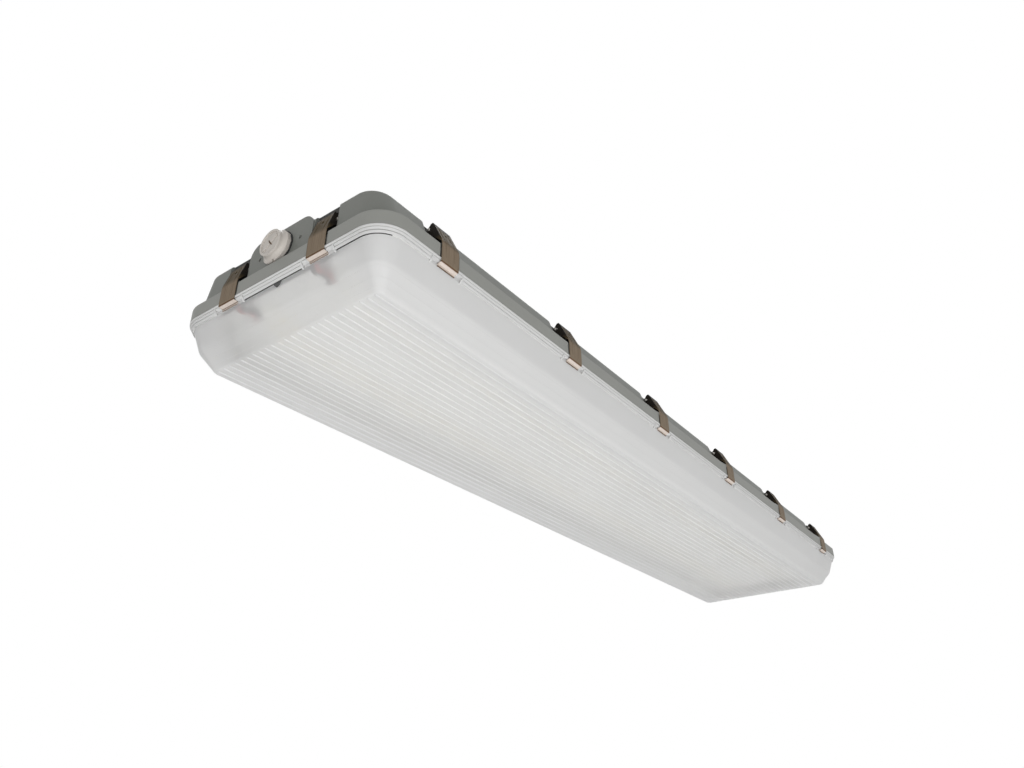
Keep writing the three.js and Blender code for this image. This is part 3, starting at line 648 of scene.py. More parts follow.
def pin_lug(form):
    """Lug on the pocket's floor, behind the strap, that holds the pin."""
    start, end = -(pi + LUG_SLOPE) / 2, pi - LUG_SLOPE / 2
    nose = arc(form.pin, LUG_NOSE, start, end - start, CORNER_STEPS)
    floor = -form.floor - SKIN / 2
    foot_top = nose[-1][1] - (nose[-1][0] - floor) * tan(LUG_SLOPE)
    return prism([(floor, foot_top), (floor, foot_top - LUG_FOOT), *nose], LUG_WIDTH)


def pin_bore(form):
    return rod("x", PIN_RADIUS + PIN_FIT, LUG_WIDTH + OVERRUN, (0, *form.pin), 16)


def in_pocket(point, form):
    """Whether a point, in a latch's own frame, is on the back of its pocket."""
    across, out, height = point
    return (abs(across) < POCKET_WIDTH / 2 - SLACK and height > RIM_HEIGHT + OVERRUN
            and out < SLACK - form.shelf)


def beside_latch(point, form):
    """Whether a point, in a latch's own frame, is in the open part of its pocket."""
    return abs(point[0]) < POCKET_WIDTH / 2 and point[1] > SLACK - form.floor


def looks_in(centre, normal):
    """Whether a face of the shell looks into its hollow."""
    height = centre.z + HOUSING_HEIGHT
    end = HALF_LENGTH - abs(centre.x)
    side = HALF_WIDTH - abs(centre.y)
    if height > SHOULDER_HEIGHT + CROWN_RISE or min(end, side) < LINING_START:
        return False
    if normal.z < -LINING_SLOPE:
        return height > RIM_HEIGHT + SKIN
    if abs(normal.x) > abs(normal.y):
        return LINING_START < end < LINING_END_REACH and normal.x * centre.x < 0
    return LINING_START < side < LINING_SIDE_REACH and normal.y * centre.y < 0


def housing_finish(centre, normal):
    """Finish of a face of the housing: painted shade, near black, on the backs of the pockets, and the pale
    lining inside as painted light.
    """
    local = [(matrix @ centre, form) for matrix, form in INWARD]
    if any(in_pocket(point, form) for point, form in local):
        return "recess"
    if looks_in(centre, normal) and not any(beside_latch(point, form) for point, form in local):
        return "lining"
    return "housing"


def housing_hollow():
    hollow = mesh_object("hollow", housing_cavity())
    join(hollow, spine(SKIN, up(RIM_HEIGHT + SKIN)))
    cut(hollow, at_places(pocket_backing))
    return taken(hollow)


def gear_posts():
    """Posts that the gear tray is screwed to, and the pilot holes in them."""
    roof = SHOULDER_HEIGHT + CROWN_RISE - SKIN / 2
    corners = [(sx * POST_X, sy * POST_Y) for sx, sy in CORNERS]
    posts = [rod("z", POST_RADIUS, roof - POST_FOOT, (x, y, up((roof + POST_FOOT) / 2))) for x, y in corners]
    pilots = [rod("z", PILOT_RADIUS, 2 * PILOT_DEPTH, (x, y, up(POST_FOOT))) for x, y in corners]
    return gathered(posts), gathered(pilots)


def entry_holes():
    """Hole for the sleeve of the cable entry, and the marks on both sides of it."""
    face, middle, height = BOSS_FACE
    marks = [rod("x", MARK_HOLE_RADIUS, 2 * MARK_HOLE_DEPTH,
                 (face, middle + side * MARK_HOLE_SPACING / 2, height)) for side in (-1, 1)]
    return gathered([*marks, rod("x", HUB_SLEEVE_RADIUS + SLEEVE_FIT, 4 * SKIN, BOSS_FACE, 48)])


def gasket_channel():
    inner = CHANNEL_INSET + CHANNEL_WIDTH
    outer = stack([even(CHANNEL_INSET, -OVERRUN), even(CHANNEL_INSET, CHANNEL_DEPTH)])
    channel = mesh_object("channel", outer)
    cut(channel, stack([even(inner, -2 * OVERRUN), even(inner, CHANNEL_DEPTH + OVERRUN)]))
    return taken(channel)


def build_housing():
    shell = mesh_object("housing_shell", housing_outer())
    posts, pilots = gear_posts()
    join(shell, spine(0, up(RIM_HEIGHT - OVERRUN)))
    cut(shell, housing_hollow())
    cut(shell, at_places(pocket))
    cut(shell, at_places(notch))
    join(shell, at_places(pin_lug))
    cut(shell, at_places(pin_bore))
    join(shell, posts)
    cut(shell, pilots)
    cut(shell, entry_holes())
    cut(shell, gasket_channel())
    finished(shell, ("housing", "recess", "lining"), housing_finish)
    return shaded(shell)


def wall_lines(foot, top):
    """Ring settings of the fine raised lines that run along the wall between two rings."""
    rings = []
    for height in WALL_LINES:
        for shift, rise in ((-WALL_LINE_FOOT, 0.0), (0.0, WALL_LINE_RISE), (WALL_LINE_FOOT / 4, 0.0)):
            end, side, corner, at = blended(foot, top, (height + shift - foot[3]) / (top[3] - foot[3]))
            rings.append((end - rise, side - rise, corner + rise, at))
    return rings


def upper_seam():
    """Ring settings of the finer line on the flange's upper slope."""
    low, high = even(STEP_INSET, -STEP_DEPTH), even(0, -LIP_FACE)
    first, last = [blended(low, high, share) for share in UPPER_SEAM]
    return [first] + [(end + FINE_DEPTH, side + FINE_DEPTH, corner - FINE_DEPTH, height)
                      for end, side, corner, height in (first, last)] + [last]


def lens_outer():
    groove = LIP_INSET + GROOVE_WIDTH
    groove_top = -LIP_DEPTH + GROOVE_DEPTH
    foot = floor_ring(0, -LENS_DEPTH)
    knee = even(KNEE_INSET, -KNEE_DEPTH)
    shape = softened([floor_ring(FLOOR_CAP_INSET, -LENS_DEPTH), foot, *wall_lines(foot, knee), knee,
                      even(LIP_WALL_INSET, -LIP_DEPTH)], KNEE_ROUND, 4)
    lip = softened([
        even(groove, groove_top), even(LIP_INSET, groove_top), even(LIP_INSET, -LIP_DEPTH),
        even(STEP_INSET, -STEP_DEPTH - SEAM_WIDTH),
        even(STEP_INSET + SEAM_DEPTH, -STEP_DEPTH - SEAM_WIDTH / 2),
        even(STEP_INSET + SEAM_DEPTH, -STEP_DEPTH),
        even(STEP_INSET, -STEP_DEPTH), *upper_seam(), even(0, -LIP_FACE), even(0, 0),
        even(TONGUE_INSET, 0), even(TONGUE_INSET, TONGUE_HEIGHT),
    ], LIP_ROUND, 2)
    return stack(shape + [even(groove, -LIP_DEPTH)] + lip)


def lens_cavity():
    wall = LIP_WALL_INSET + LENS_SKIN
    floor = -LENS_DEPTH + LENS_SKIN
    return stack(softened([
        floor_ring(FLOOR_CAP_INSET, floor), floor_ring(LENS_SKIN / 2, floor),
        even(KNEE_INSET + LENS_SKIN, -KNEE_DEPTH + LENS_SKIN / 2),
        even(wall, -LIP_DEPTH), even(wall, TONGUE_HEIGHT + OVERRUN),
    ], KNEE_ROUND))


def rib(index):
    """Low rounded rib with rounded ends, sunk into the lens floor."""
    y = (index - (RIB_COUNT - 1) / 2) * RIB_PITCH
    half_length = HALF_LENGTH - FLOOR_END - RIB_SETBACK
    stations = []
    for i in range(RIB_END_STEPS + 1):
        turn = pi / 2 * i / RIB_END_STEPS
        stations.append((-half_length + RIB_END_TAPER * (1 - cos(turn)), max(sin(turn), RIB_END_SHARE)))
    stations += [(-x, share) for x, share in reversed(stations)]
    foot, top = up(-LENS_DEPTH), up(-LENS_DEPTH + LENS_SKIN / 2)
    loops = []
    for x, share in stations:
        half = RIB_WIDTH / 2 * share
        loop = [(x, y - half, top), (x, y - half, foot)]
        for step in range(1, RIB_STEPS):
            angle = pi * step / RIB_STEPS
            loop.append((x, y - half * cos(angle), foot - RIB_HEIGHT * share * sin(angle)))
        loops.append(loop + [(x, y + half, foot), (x, y + half, top)])
    return lofted(loops)


def hook_seat(form):
    width = STRAP_WIDTH + 2 * SEAT_SIDE
    return plain_bar(-LIP_WALL_INSET, -LIP_DEPTH - OVERRUN, -SEAT_DEPTH, width)


def seat_stops(form):
    """Small stops on both sides of a hook's seat."""
    outline = [(-LIP_WALL_INSET - OVERRUN, -LIP_DEPTH - STOP_RISE), (-LIP_INSET, -LIP_DEPTH - STOP_RISE / 2),
               (-STEP_INSET / 2, -STEP_DEPTH), (-STEP_INSET / 2, -LIP_FACE - STOP_RISE),
               (-LIP_WALL_INSET - OVERRUN, -LIP_FACE - STOP_RISE)]
    reach = STRAP_WIDTH / 2 + SEAT_SIDE + STOP_WIDTH / 2
    return gathered([prism(outline, STOP_WIDTH, side * reach) for side in (-1, 1)])


def build_lens():
    lens = mesh_object("lens_cover", lens_outer())
    cut(lens, lens_cavity())
    join(lens, gathered([rib(i) for i in range(RIB_COUNT)]))
    cut(lens, at_places(hook_seat))
    join(lens, at_places(seat_stops))
    finished(lens, ("lens", "flute", "seam", "groove", "inner", "brim", "joint"), lens_finish)
    return shaded(lens, 40)


def inset_at(x, y):
    """Distance of a point inward from the outline."""
    qx = abs(x) - HALF_LENGTH + RIM_CORNER
    qy = abs(y) - HALF_WIDTH + RIM_CORNER
    if qx > 0 and qy > 0:
        return RIM_CORNER - hypot(qx, qy)
    return RIM_CORNER - max(qx, qy)


def lens_finish(centre, normal):
    """Finish of a face of the lens, by its height and its distance from the outline."""
    height = centre.z + HOUSING_HEIGHT
    inset = inset_at(centre.x, centre.y)
    if inset > LIP_WALL_INSET + LENS_SKIN - SLACK and normal.z > -SLACK:
        return "inner"
    if height < -LENS_DEPTH - SLACK / 4:
        return "flute"
    slope = -STEP_INSET * (height + LIP_FACE) / (STEP_DEPTH - LIP_FACE)
    in_lines = (
        -STEP_DEPTH - SEAM_WIDTH < height < -STEP_DEPTH + SLACK
        and STEP_INSET + 3 * SLACK < inset < LIP_INSET - 3 * SLACK,
        -STEP_DEPTH < height < -LIP_FACE and slope + FINE_DEPTH / 4 < inset < STEP_INSET)
    # Painted shade on the fine lines at the step and on the upper slope
    if any(in_lines):
        return "seam"
    in_groove = -LIP_DEPTH + SLACK < height < -STEP_DEPTH
    if in_groove and LIP_INSET + SLACK / 2 < inset < LIP_INSET + GROOVE_WIDTH + SLACK:
        return groove_finish(centre)
    return "brim" if height > -LIP_DEPTH - STOP_RISE - SLACK else "lens"


def groove_finish(centre):
    """Tone of the groove under the flange, painted shade: dark only at one corner of each end, pale grey
    elsewhere.
    """
    if abs(centre.x) < SEAM_END_X or centre.y > END_LATCH_Y + STRAP_WIDTH:
        return "joint"
    return "groove" if centre.y < 0 else "seam"


def strap_at(form, height):
    """Point on the strap's middle line at a height on its leaning part."""
    top_out, top_up = form.top
    share = (height - KINK_HEIGHT) / (top_up - KINK_HEIGHT)
    return (STRAP_OUT + (top_out - STRAP_OUT) * share, height)


def fold_end(form):
    return (form.top[0] - FOLD_REACH, form.top[1] - FOLD_FALL)


def strap_face(form, low):
    """Middle line of a strap's face, from a height up to where it leans."""
    kink = (STRAP_OUT, KINK_HEIGHT - KINK_ROUND)
    return [(STRAP_OUT, low), kink, strap_at(form, KINK_HEIGHT + KINK_ROUND)]


def strap_line(form):
    """Middle line of a strap, from the hem of its hook to the fold on top."""
    pin = form.pin
    inset = STEP_INSET * (SEAT_DEPTH - LIP_FACE) / (STEP_DEPTH - LIP_FACE)
    radius = dist(pin, (-inset, -SEAT_DEPTH)) + HOOK_CLEARANCE + STRAP_SHEET / 2

    def on_circle(x):
        return (x, pin[1] - sqrt(radius ** 2 - (x - pin[0]) ** 2))
    tip = on_circle(-HOOK_REACH)
    bend = on_circle(STRAP_OUT - STRAP_SHEET)
    hook = [(tip[0] + STRAP_SHEET / 3, tip[1] - HOOK_HEM), tip, on_circle(-HOOK_REACH / 2), bend,
            (STRAP_OUT, bend[1] + STRAP_SHEET), (STRAP_OUT, KINK_HEIGHT / 2)]
    face = [*strap_face(form, KINK_HEIGHT / 2), form.top, fold_end(form)]
    return softened(hook, HOOK_BEND_ROUND, 2)[:-1] + softened(face, STRAP_BEND_ROUND, 2)


def sheet_outline(line, thickness, rise=0.0):
    """Outline of a bent sheet from the middle line of its section, thicker on the outside by a rise."""
    steps = [(Vector(after) - Vector(at)).normalized() for at, after in zip(line, line[1:])]
    near, far = [], []
    for (out, height), before, after in zip(line, steps[:1] + steps, steps + steps[-1:]):
        mitre = (before + after).normalized()
        reach = thickness / 2 / mitre.dot(before)
        outer = reach * (1 + 2 * rise / thickness)
        near.append((out - mitre.y * reach, height + mitre.x * reach))
        far.append((out + mitre.y * outer, height - mitre.x * outer))
    return near + far[::-1]


def beads(form):
    """Pressed beads that run up the face of a strap."""
    top = KINK_HEIGHT + (form.top[1] - KINK_HEIGHT) * BEAD_TOP_SHARE
    outline = sheet_outline([*strap_face(form, BEAD_FOOT), strap_at(form, top)], STRAP_SHEET, BEAD_RISE)
    return gathered([prism(outline, BEAD_WIDTH, offset) for offset in BEAD_OFFSETS])


def ear(form, side):
    """Side ear of a strap, from its leaning part round the pin."""
    outline = [strap_at(form, KINK_HEIGHT), form.top, fold_end(form),
               *arc(form.pin, EAR_RADIUS, EAR_START, EAR_ARC, EAR_STEPS)]
    return prism(outline, STRAP_SHEET, side * (STRAP_WIDTH - STRAP_SHEET) / 2)


def build_strap(name, form):
    strap = mesh_object(name, prism(sheet_outline(strap_line(form), STRAP_SHEET), STRAP_WIDTH))
    join(strap, beads(form))
    join(strap, gathered([ear(form, side) for side in (-1, 1)]))
    cut(strap, rod("x", PIN_RADIUS + EAR_FIT, STRAP_WIDTH + OVERRUN, (0, *form.pin), 20))
    place = Matrix.Translation((0, *strap_at(form, STRAP_HOLE_HEIGHT)))
    lean = atan2(STRAP_STAND_OFF - form.top[0], form.top[1] - KINK_HEIGHT)
    hole = rod("y", STRAP_HOLE_RADIUS, 4 * STRAP_SHEET, (0, 0, 0), 20)
    cut(strap, moved(hole, place @ Matrix.Rotation(lean, 4, "X")))
    rounded_edges(strap, STRAP_EDGE_ROUND)
    return shaded(strap)


def build_pin(name, form):
    half = STRAP_WIDTH / 2 + PIN_OVERHANG
    profile = softened([(PIN_CAP_RADIUS, -half), (PIN_RADIUS, -half), (PIN_RADIUS, half),
                        (PIN_CAP_RADIUS, half)], PIN_ROUND)
    turn = Matrix.Translation((0, *form.pin)) @ Matrix.Rotation(pi / 2, 4, "Y")
    return shaded(mesh_object(name, moved(turned(profile, 24), turn)))


def build_hub():
    collar_top = HUB_BASE + COLLAR_THICKNESS
    bevel = HUB_CHAMFER
    collar = turned([(COLLAR_RADIUS - bevel, HUB_BASE), (COLLAR_RADIUS, HUB_BASE + bevel),
                     (COLLAR_RADIUS, collar_top - bevel), (COLLAR_RADIUS - bevel, collar_top)], 12)
    hub = mesh_object("hub_cap", moved(collar, ENTRY))
    profile = [(HUB_SLEEVE_RADIUS, HUB_BASE - HUB_SLEEVE_REACH), (HUB_SLEEVE_RADIUS, HUB_BASE + OVERRUN),
               (HUB_FLARE[0][0], HUB_BASE + OVERRUN), *HUB_FLARE]
    join(hub, moved(turned(profile), ENTRY))
    middle = HUB_BASE + COLLAR_THICKNESS / 2
    lobe_centre = (HUB_LOBE_REACH - HUB_LOBE_RADIUS, 0, middle)
    lobe = rod("z", HUB_LOBE_RADIUS, COLLAR_THICKNESS - bevel, lobe_centre, 48)
    join(hub, moved(lobe, ENTRY @ Matrix.Rotation(HUB_LOBE_TURN, 4, "Z")))
    length, width, place = HUB_NOTCH
    gap = block((length, width, COLLAR_THICKNESS + OVERRUN), (-place, 0, middle))
    cut(hub, moved(gap, ENTRY))
    bore = rod("z", HUB_BORE_RADIUS, 4 * HUB_SLEEVE_REACH, (0, 0, 0), 64)
    cut(hub, moved(bore, ENTRY))
    return shaded(hub, 25)


def build_plug():
    """Screw plug with a sunk face, a grip bar across it and a slot."""
    head = PLUG_BASE + PLUG_NECK_LENGTH
    face = head + PLUG_HEAD_HEIGHT
    sunk = face - PLUG_FACE_DEPTH
    body = softened([
        (PLUG_SHANK_RADIUS, PLUG_BASE - PLUG_SHANK_LENGTH), (PLUG_SHANK_RADIUS, PLUG_BASE),
        (PLUG_NECK_RADIUS, PLUG_BASE), (PLUG_NECK_RADIUS, head), (PLUG_HEAD_RADIUS, head),
        (PLUG_HEAD_RADIUS, face), (PLUG_FACE_RADIUS, face), (PLUG_FACE_RADIUS, sunk),
        (PLUG_STEP_RADIUS, sunk), (PLUG_STEP_RADIUS - PLUG_STEP_RISE, sunk + PLUG_STEP_RISE),
        (PLUG_STEP_RISE, sunk + PLUG_STEP_RISE),
    ], PLUG_EDGE_ROUND)
    plug = mesh_object("plug_cap", moved(turned(body), ENTRY))
    turn = ENTRY @ Matrix.Rotation(PLUG_BAR_TURN, 4, "Z")
    run = 2 * PLUG_FACE_RADIUS - PLUG_BAR_WIDTH
    grip = block((PLUG_BAR_WIDTH, run, 2 * PLUG_FACE_DEPTH), (0, 0, sunk))
    join(plug, moved(grip, turn))
    offset = (PLUG_BAR_WIDTH + PLUG_LINE_WIDTH) / 2
    lines = [block((PLUG_LINE_WIDTH, run, PLUG_LINE_WIDTH), (side * offset, 0, sunk + PLUG_STEP_RISE))
             for side in (-1, 1)]
    cut(plug, moved(gathered(lines), turn))
    slot = block((PLUG_SLOT_LENGTH, PLUG_SLOT_WIDTH, 2 * PLUG_SLOT_DEPTH), (0, 0, face))
    cut(plug, moved(slot, turn))
    axis = turn.inverted()

    # Painted shade: the slot's faces are dark brown
    def plug_finish(centre, _):
        x, y, z = axis @ centre
        across = abs(x) < PLUG_SLOT_LENGTH / 2 + SLACK and abs(y) < PLUG_SLOT_WIDTH / 2 + SLACK
        deep = face - PLUG_SLOT_DEPTH - SLACK < z < face - SLACK
        return "slot" if across and deep else "entry"
    finished(plug, ("entry", "slot"), plug_finish)
    return shaded(plug)


def build_chips():
    """LED chips on the undersides of all the boards."""
    spots = [(column * BOARD_X + (i - (CHIP_COUNT - 1) / 2) * CHIP_PITCH, row * BOARD_Y + offset)
             for column, row in CORNERS for i in range(CHIP_COUNT) for offset in CHIP_ROWS]
    height = up(BOARD_UNDERSIDE - CHIP_SIZE[2] / 2)
    return shaded(mesh_object("led_chips", gathered([block(CHIP_SIZE, (x, y, height)) for x, y in spots])))


def through(points, steps):
    """Smooth line of points through the given ones."""
    line = [points[0], *points, points[-1]]
    out = []
    for a, b, c, d in zip(line, line[1:], line[2:], line[3:]):
        for i in range(steps):
            t = i / steps
            out.append(Vector(tuple(0.5 * (2 * q + (r - p) * t + (2 * p - 5 * q + 4 * r - s) * t ** 2
                                           + (3 * q - p - 3 * r + s) * t ** 3)
                                    for p, q, r, s in zip(a, b, c, d))))
    out.append(Vector(points[-1]))
    return out


def tube(line, radius):
    """Round tube along a line, with its section carried on from step to step."""
    side = Vector((0, 0, 1))
    loops = []
    for i, point in enumerate(line):
        along = (line[min(i + 1, len(line) - 1)] - line[max(i - 1, 0)]).normalized()
        side = (side - along * side.dot(along)).normalized()
        other = along.cross(side)
        loops.append([tuple(point + side * a + other * b) for a, b in circle(radius, LEAD_SIDES)])
    return lofted(loops)


def build_lead(name, row, strand):
    """Insulated lead from a board's connector, in a loose loop past the tray's end, to the driver."""
    shift = strand * LEAD_SPREAD
    inner = row * DRIVER_LEAD_Y + shift
    points = [(x, row * BOARD_Y + sideways + shift, up(height))
              for x, sideways, height in (LEAD_START, *LEAD_LOOP)]
    points += [((LEAD_LOOP[-1][0] + LEAD_END[0]) / 2, (points[-1][1] + inner) / 2, up(LEAD_END[2])),
               (LEAD_END[0], inner, up(LEAD_END[2]))]
    return shaded(mesh_object(name, tube(through(points, LEAD_STEPS), LEAD_RADIUS)))


def build_wings():
    """Narrow white sheets on both sides of the tray, which show through the lens."""
    middle = (WING_ROOT + WING_REACH) / 2
    sheets = [block((WING_LENGTH, WING_REACH - WING_ROOT, WING_SHEET), (0, side * middle, up(WING_HEIGHT)))
              for side in (-1, 1)]
    return shaded(mesh_object("tray_wings", gathered(sheets)))


def build_tab():
    """Small dark three-cornered tab that hangs below the flange at the entry end."""
    low = [(TAB_X, y, up(height)) for y, height in TAB_CORNERS]
    high = [(TAB_X + TAB_THICKNESS, y, z) for _, y, z in low]
    tab = mesh_object("dark_tab", lofted([low, high]))
    rounded_edges(tab, TAB_EDGE_ROUND)
    return shaded(tab)


def start_material(name):
    """A new material, its node tree and its surface shader."""
    material = bpy.data.materials.new(name)
    material.use_nodes = True
    tree = material.node_tree
    return material, tree, tree.nodes["Principled BSDF"]


def feed(tree, node, inputs):
    """Sets inputs of a node to values, or links them to the outputs that give the values."""
    for name, value in inputs.items():
        if isinstance(value, bpy.types.NodeSocket):
            tree.links.new(value, node.inputs[name])
        else:
            node.inputs[name].default_value = value
    return node


def add_node(tree, kind, inputs):
    return feed(tree, tree.nodes.new(kind), inputs)


def computed(tree, operation, *values):
    """Result of an arithmetic operation on one or two values."""
    node = tree.nodes.new("ShaderNodeMath")
    node.operation = operation
    return feed(tree, node, dict(enumerate(values))).outputs[0]


def mixed(tree, first, second, share=1.0, blend="MULTIPLY"):
    """Two colours blended, by default their product."""
    node = tree.nodes.new("ShaderNodeMix")
    node.data_type = "RGBA"
    node.blend_type = blend
    return feed(tree, node, {"Factor": share, "A": first, "B": second}).outputs["Result"]


def place_in(tree):
    """Object coordinates of a piece at rest."""
    return add_node(tree, "ShaderNodeTexCoord", {}).outputs["Object"]


def object_noise(tree, scale, stretch=EVEN, detail=4.0):
    """Noise on object coordinates, drawn out by a stretch."""
    mapping = add_node(tree, "ShaderNodeMapping", {"Vector": place_in(tree), "Scale": stretch})
    noise = add_node(tree, "ShaderNodeTexNoise", {
        "Vector": mapping.outputs["Vector"], "Scale": scale, "Detail": detail, "Roughness": 0.55})
    return noise.outputs["Fac"]


def axes_of(tree):
    """The object coordinates one by one, in metres."""
    return add_node(tree, "ShaderNodeSeparateXYZ", {"Vector": place_in(tree)}).outputs


def ranged(tree, value, low, high, start=NOISE_LOW, end=NOISE_HIGH):
    """Maps a value from its range, by default that of a noise, to another."""
    return add_node(tree, "ShaderNodeMapRange", {
        "Value": value, "From Min": start, "From Max": end, "To Min": low, "To Max": high}).outputs["Result"]


def portion(tree, value, span):
    """Share of the way that a coordinate lies along a span in millimetres."""
    return ranged(tree, value, 0.0, 1.0, span[0] * MM, span[1] * MM)


def ramp(tree, value, stops):
    """Colour ramp from (place, colour) stops."""
    node = add_node(tree, "ShaderNodeValToRGB", {"Fac": value})
    while len(node.color_ramp.elements) < len(stops):
        node.color_ramp.elements.new(0.5)
    for element, (place, colour) in zip(node.color_ramp.elements, stops):
        element.position = place
        element.color = (*colour, 1)
    return node.outputs["Color"]


def clouded(tree, noise, low, high):
    """Colour that a noise moves between two."""
    return ramp(tree, noise, ((NOISE_LOW, low), (NOISE_HIGH, high)))


def banded(tree, value, span, places, colours):
    """Colours at places along a coordinate, all in millimetres within a span."""
    low, high = span
    return ramp(tree, portion(tree, value, span), [
        ((place - low) / (high - low), colour) for place, colour in zip(places, colours)])


def bumped(tree, shader, value, strength, inputs):
    """Gives a shader a fine relief."""
    node = add_node(tree, "ShaderNodeBump", {
        "Strength": strength, "Distance": GRAIN_RELIEF * MM, "Height": value, **inputs})
    feed(tree, shader, {"Normal": node.outputs["Normal"]})


def tinted(colour, factor):
    return tuple(min(1.0, c * factor) for c in colour)


def grained(name, colour, spread, patch, grain, roughness, relief, metallic=0.0, stretch=EVEN, coat=0.0):
    """Moulded, painted or metal surface with soft patches of tone and a fine grain."""
    material, tree, shader = start_material(name)
    patches = object_noise(tree, patch, stretch)
    fine = object_noise(tree, grain, stretch, 2.0)
    feed(tree, shader, {
        "Base Color": clouded(tree, patches, tinted(colour, 1 - spread), tinted(colour, 1 + spread)),
        "Roughness": ranged(tree, fine, *roughness), "Metallic": metallic, "Coat Weight": coat})
    bumped(tree, shader, fine, relief, {})
    return material


def housing_material():
    """Fibre-filled grey plastic with fine grain and soft scuffs; a moulded rim painted paler as painted
    light, and walls above it painted darker as painted shade.
    """
    material, tree, shader = start_material("housing_plastic")
    # Painted light and shade: a paler rim and darker walls above it, which less of the light from below
    # reaches
    fade = [up(height) for height in RIM_FADE]
    base = banded(tree, axes_of(tree)["Z"], fade, fade, (RIM_LIT_GREY, WALL_SHADED_GREY))
    tone = clouded(tree, object_noise(tree, 9.0), (0.93, 0.93, 0.93), WHITE)
    fine = object_noise(tree, 1500.0, EVEN, 2.0)
    feed(tree, shader, {"Base Color": mixed(tree, base, tone), "Roughness": ranged(tree, fine, 0.42, 0.58)})
    edge = add_node(tree, "ShaderNodeBevel", {"Radius": EDGE_SOFTNESS * MM})
    edge.samples = 4
    bumped(tree, shader, fine, 0.12, {"Normal": edge.outputs["Normal"]})
    return material


def lining_material():
    """Inside of the housing, painted pale behind the tray as painted light, and painted brownish shade at
    the far end.
    """
    # Painted light: a grey far paler than the housing's own, so the hollow seen through the lens shows
    # bright
    material = grained("housing_inside", (0.82, 0.82, 0.81), 0.04, 20, 1400, (0.5, 0.65), 0.1)
    tree = material.node_tree
    shader = tree.nodes["Principled BSDF"]
    base = shader.inputs["Base Color"].links[0].from_socket
    shade = banded(tree, axes_of(tree)["X"], FAR_SHADE, FAR_SHADE, (WHITE, FAR_SHADE_BROWN))
    feed(tree, shader, {"Base Color": mixed(tree, base, shade)})
    return material


def lens_material(name, tone, roughness, clear, glowing, bend, side_shade):
    """Milky plastic that glows through and lets what lies behind it show as soft shapes."""
    material, tree, shader = start_material(name)
    # Painted shade: darker and less clear towards the long sides
    share = portion(tree, computed(tree, "ABSOLUTE", axes_of(tree)["Y"]), CLEAR_TO)
    body = ramp(tree, share, ((0.0, tone), (1.0, tinted(tone, side_shade))))
    colour = mixed(tree, body, clouded(tree, object_noise(tree, 5.0, (1, 2, 2)), (0.98, 0.98, 0.98), WHITE))
    fine = object_noise(tree, 60.0, EVEN, 2.0)
    feed(tree, shader, {
        "Base Color": colour, "IOR": bend, "Roughness": ranged(tree, fine, *roughness),
        "Transmission Weight": ranged(tree, share, clear, clear * SIDE_CLEARNESS, 0.0, 1.0)})
    bumped(tree, shader, fine, 0.05, {})
    glow = add_node(tree, "ShaderNodeBsdfTranslucent", {"Color": colour})
    both = add_node(tree, "ShaderNodeMixShader", {
        "Fac": glowing, 1: shader.outputs["BSDF"], 2: glow.outputs["BSDF"]})
    feed(tree, tree.nodes["Material Output"], {"Surface": both.outputs["Shader"]})
    return material


def strap_material():
    """Rolled steel with streaks along the strap, brown on the face, painted light under the hook, and
    painted shade: dark above, on the leaning part, at the bends and on the ears.
    """
    material, tree, shader = start_material("strap_steel")
    axes = axes_of(tree)
    heights, tones = zip(*STRAP_BANDS)
    # Painted light and shade in bands up the strap
    base = banded(tree, axes["Z"], STRAP_SPAN, heights, [STRAP_TONES[tone] for tone in tones])
    window = (BLACK, WHITE, WHITE, BLACK)
    crease_shade = computed(tree, "MULTIPLY", banded(tree, axes["Y"], CREASE_SPAN, CREASE_OUT, window),
                      banded(tree, axes["Z"], STRAP_SPAN, CREASE_HEIGHTS, window))
    crease_shaded = mixed(tree, base, (*STRAP_TONES["line"], 1), crease_shade, "MIX")
    edge = STRAP_WIDTH / 2 - STRAP_SHEET
    on_ear = portion(tree, computed(tree, "ABSOLUTE", axes["X"]), (edge - EAR_FIT / 2, edge))
    painted_shadow = computed(tree, "MULTIPLY", on_ear, portion(tree, axes["Z"], EAR_SHADE))
    ear_shaded = mixed(tree, crease_shaded, (*STRAP_TONES["painted_shadow"], 1), painted_shadow, "MIX")
    streaks = object_noise(tree, 700.0, (1, 1, 0.03), 3.0)
    feed(tree, shader, {
        "Base Color": mixed(tree, ear_shaded, clouded(tree, streaks, (0.78, 0.77, 0.75), WHITE)),
        "Roughness": ranged(tree, streaks, 0.32, 0.48), "Metallic": 0.03, "Specular IOR Level": 0.02})
    bumped(tree, shader, streaks, 0.2, {})
    return material


MATERIALS = {
    "housing": housing_material(),
    "lining": lining_material(),
    "strap": strap_material(),
    **{finish: lens_material(finish, *row) for finish, row in MILKY.items()},
    **{finish: grained(finish, *row) for finish, row in GRAINED.items()},
}


def put(obj, finish):
    obj.data.materials.clear()
    obj.data.materials.append(MATERIALS[finish])


def dress(obj, body, slot, finish, *nodes):
    """Gives a new piece its finish and body and hides the nodes that it stands for. The slot is not used."""
    if finish:
        put(obj, finish)
    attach(obj, body)
    if nodes:
        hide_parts(*nodes)


def copied(source, name, where, *look):
    """Copy of a piece at another place, with a look of its own."""
    piece = source.copy()
    piece.name = name
    bpy.context.scene.collection.objects.link(piece)
    piece.matrix_world = where
    dress(piece, *look)


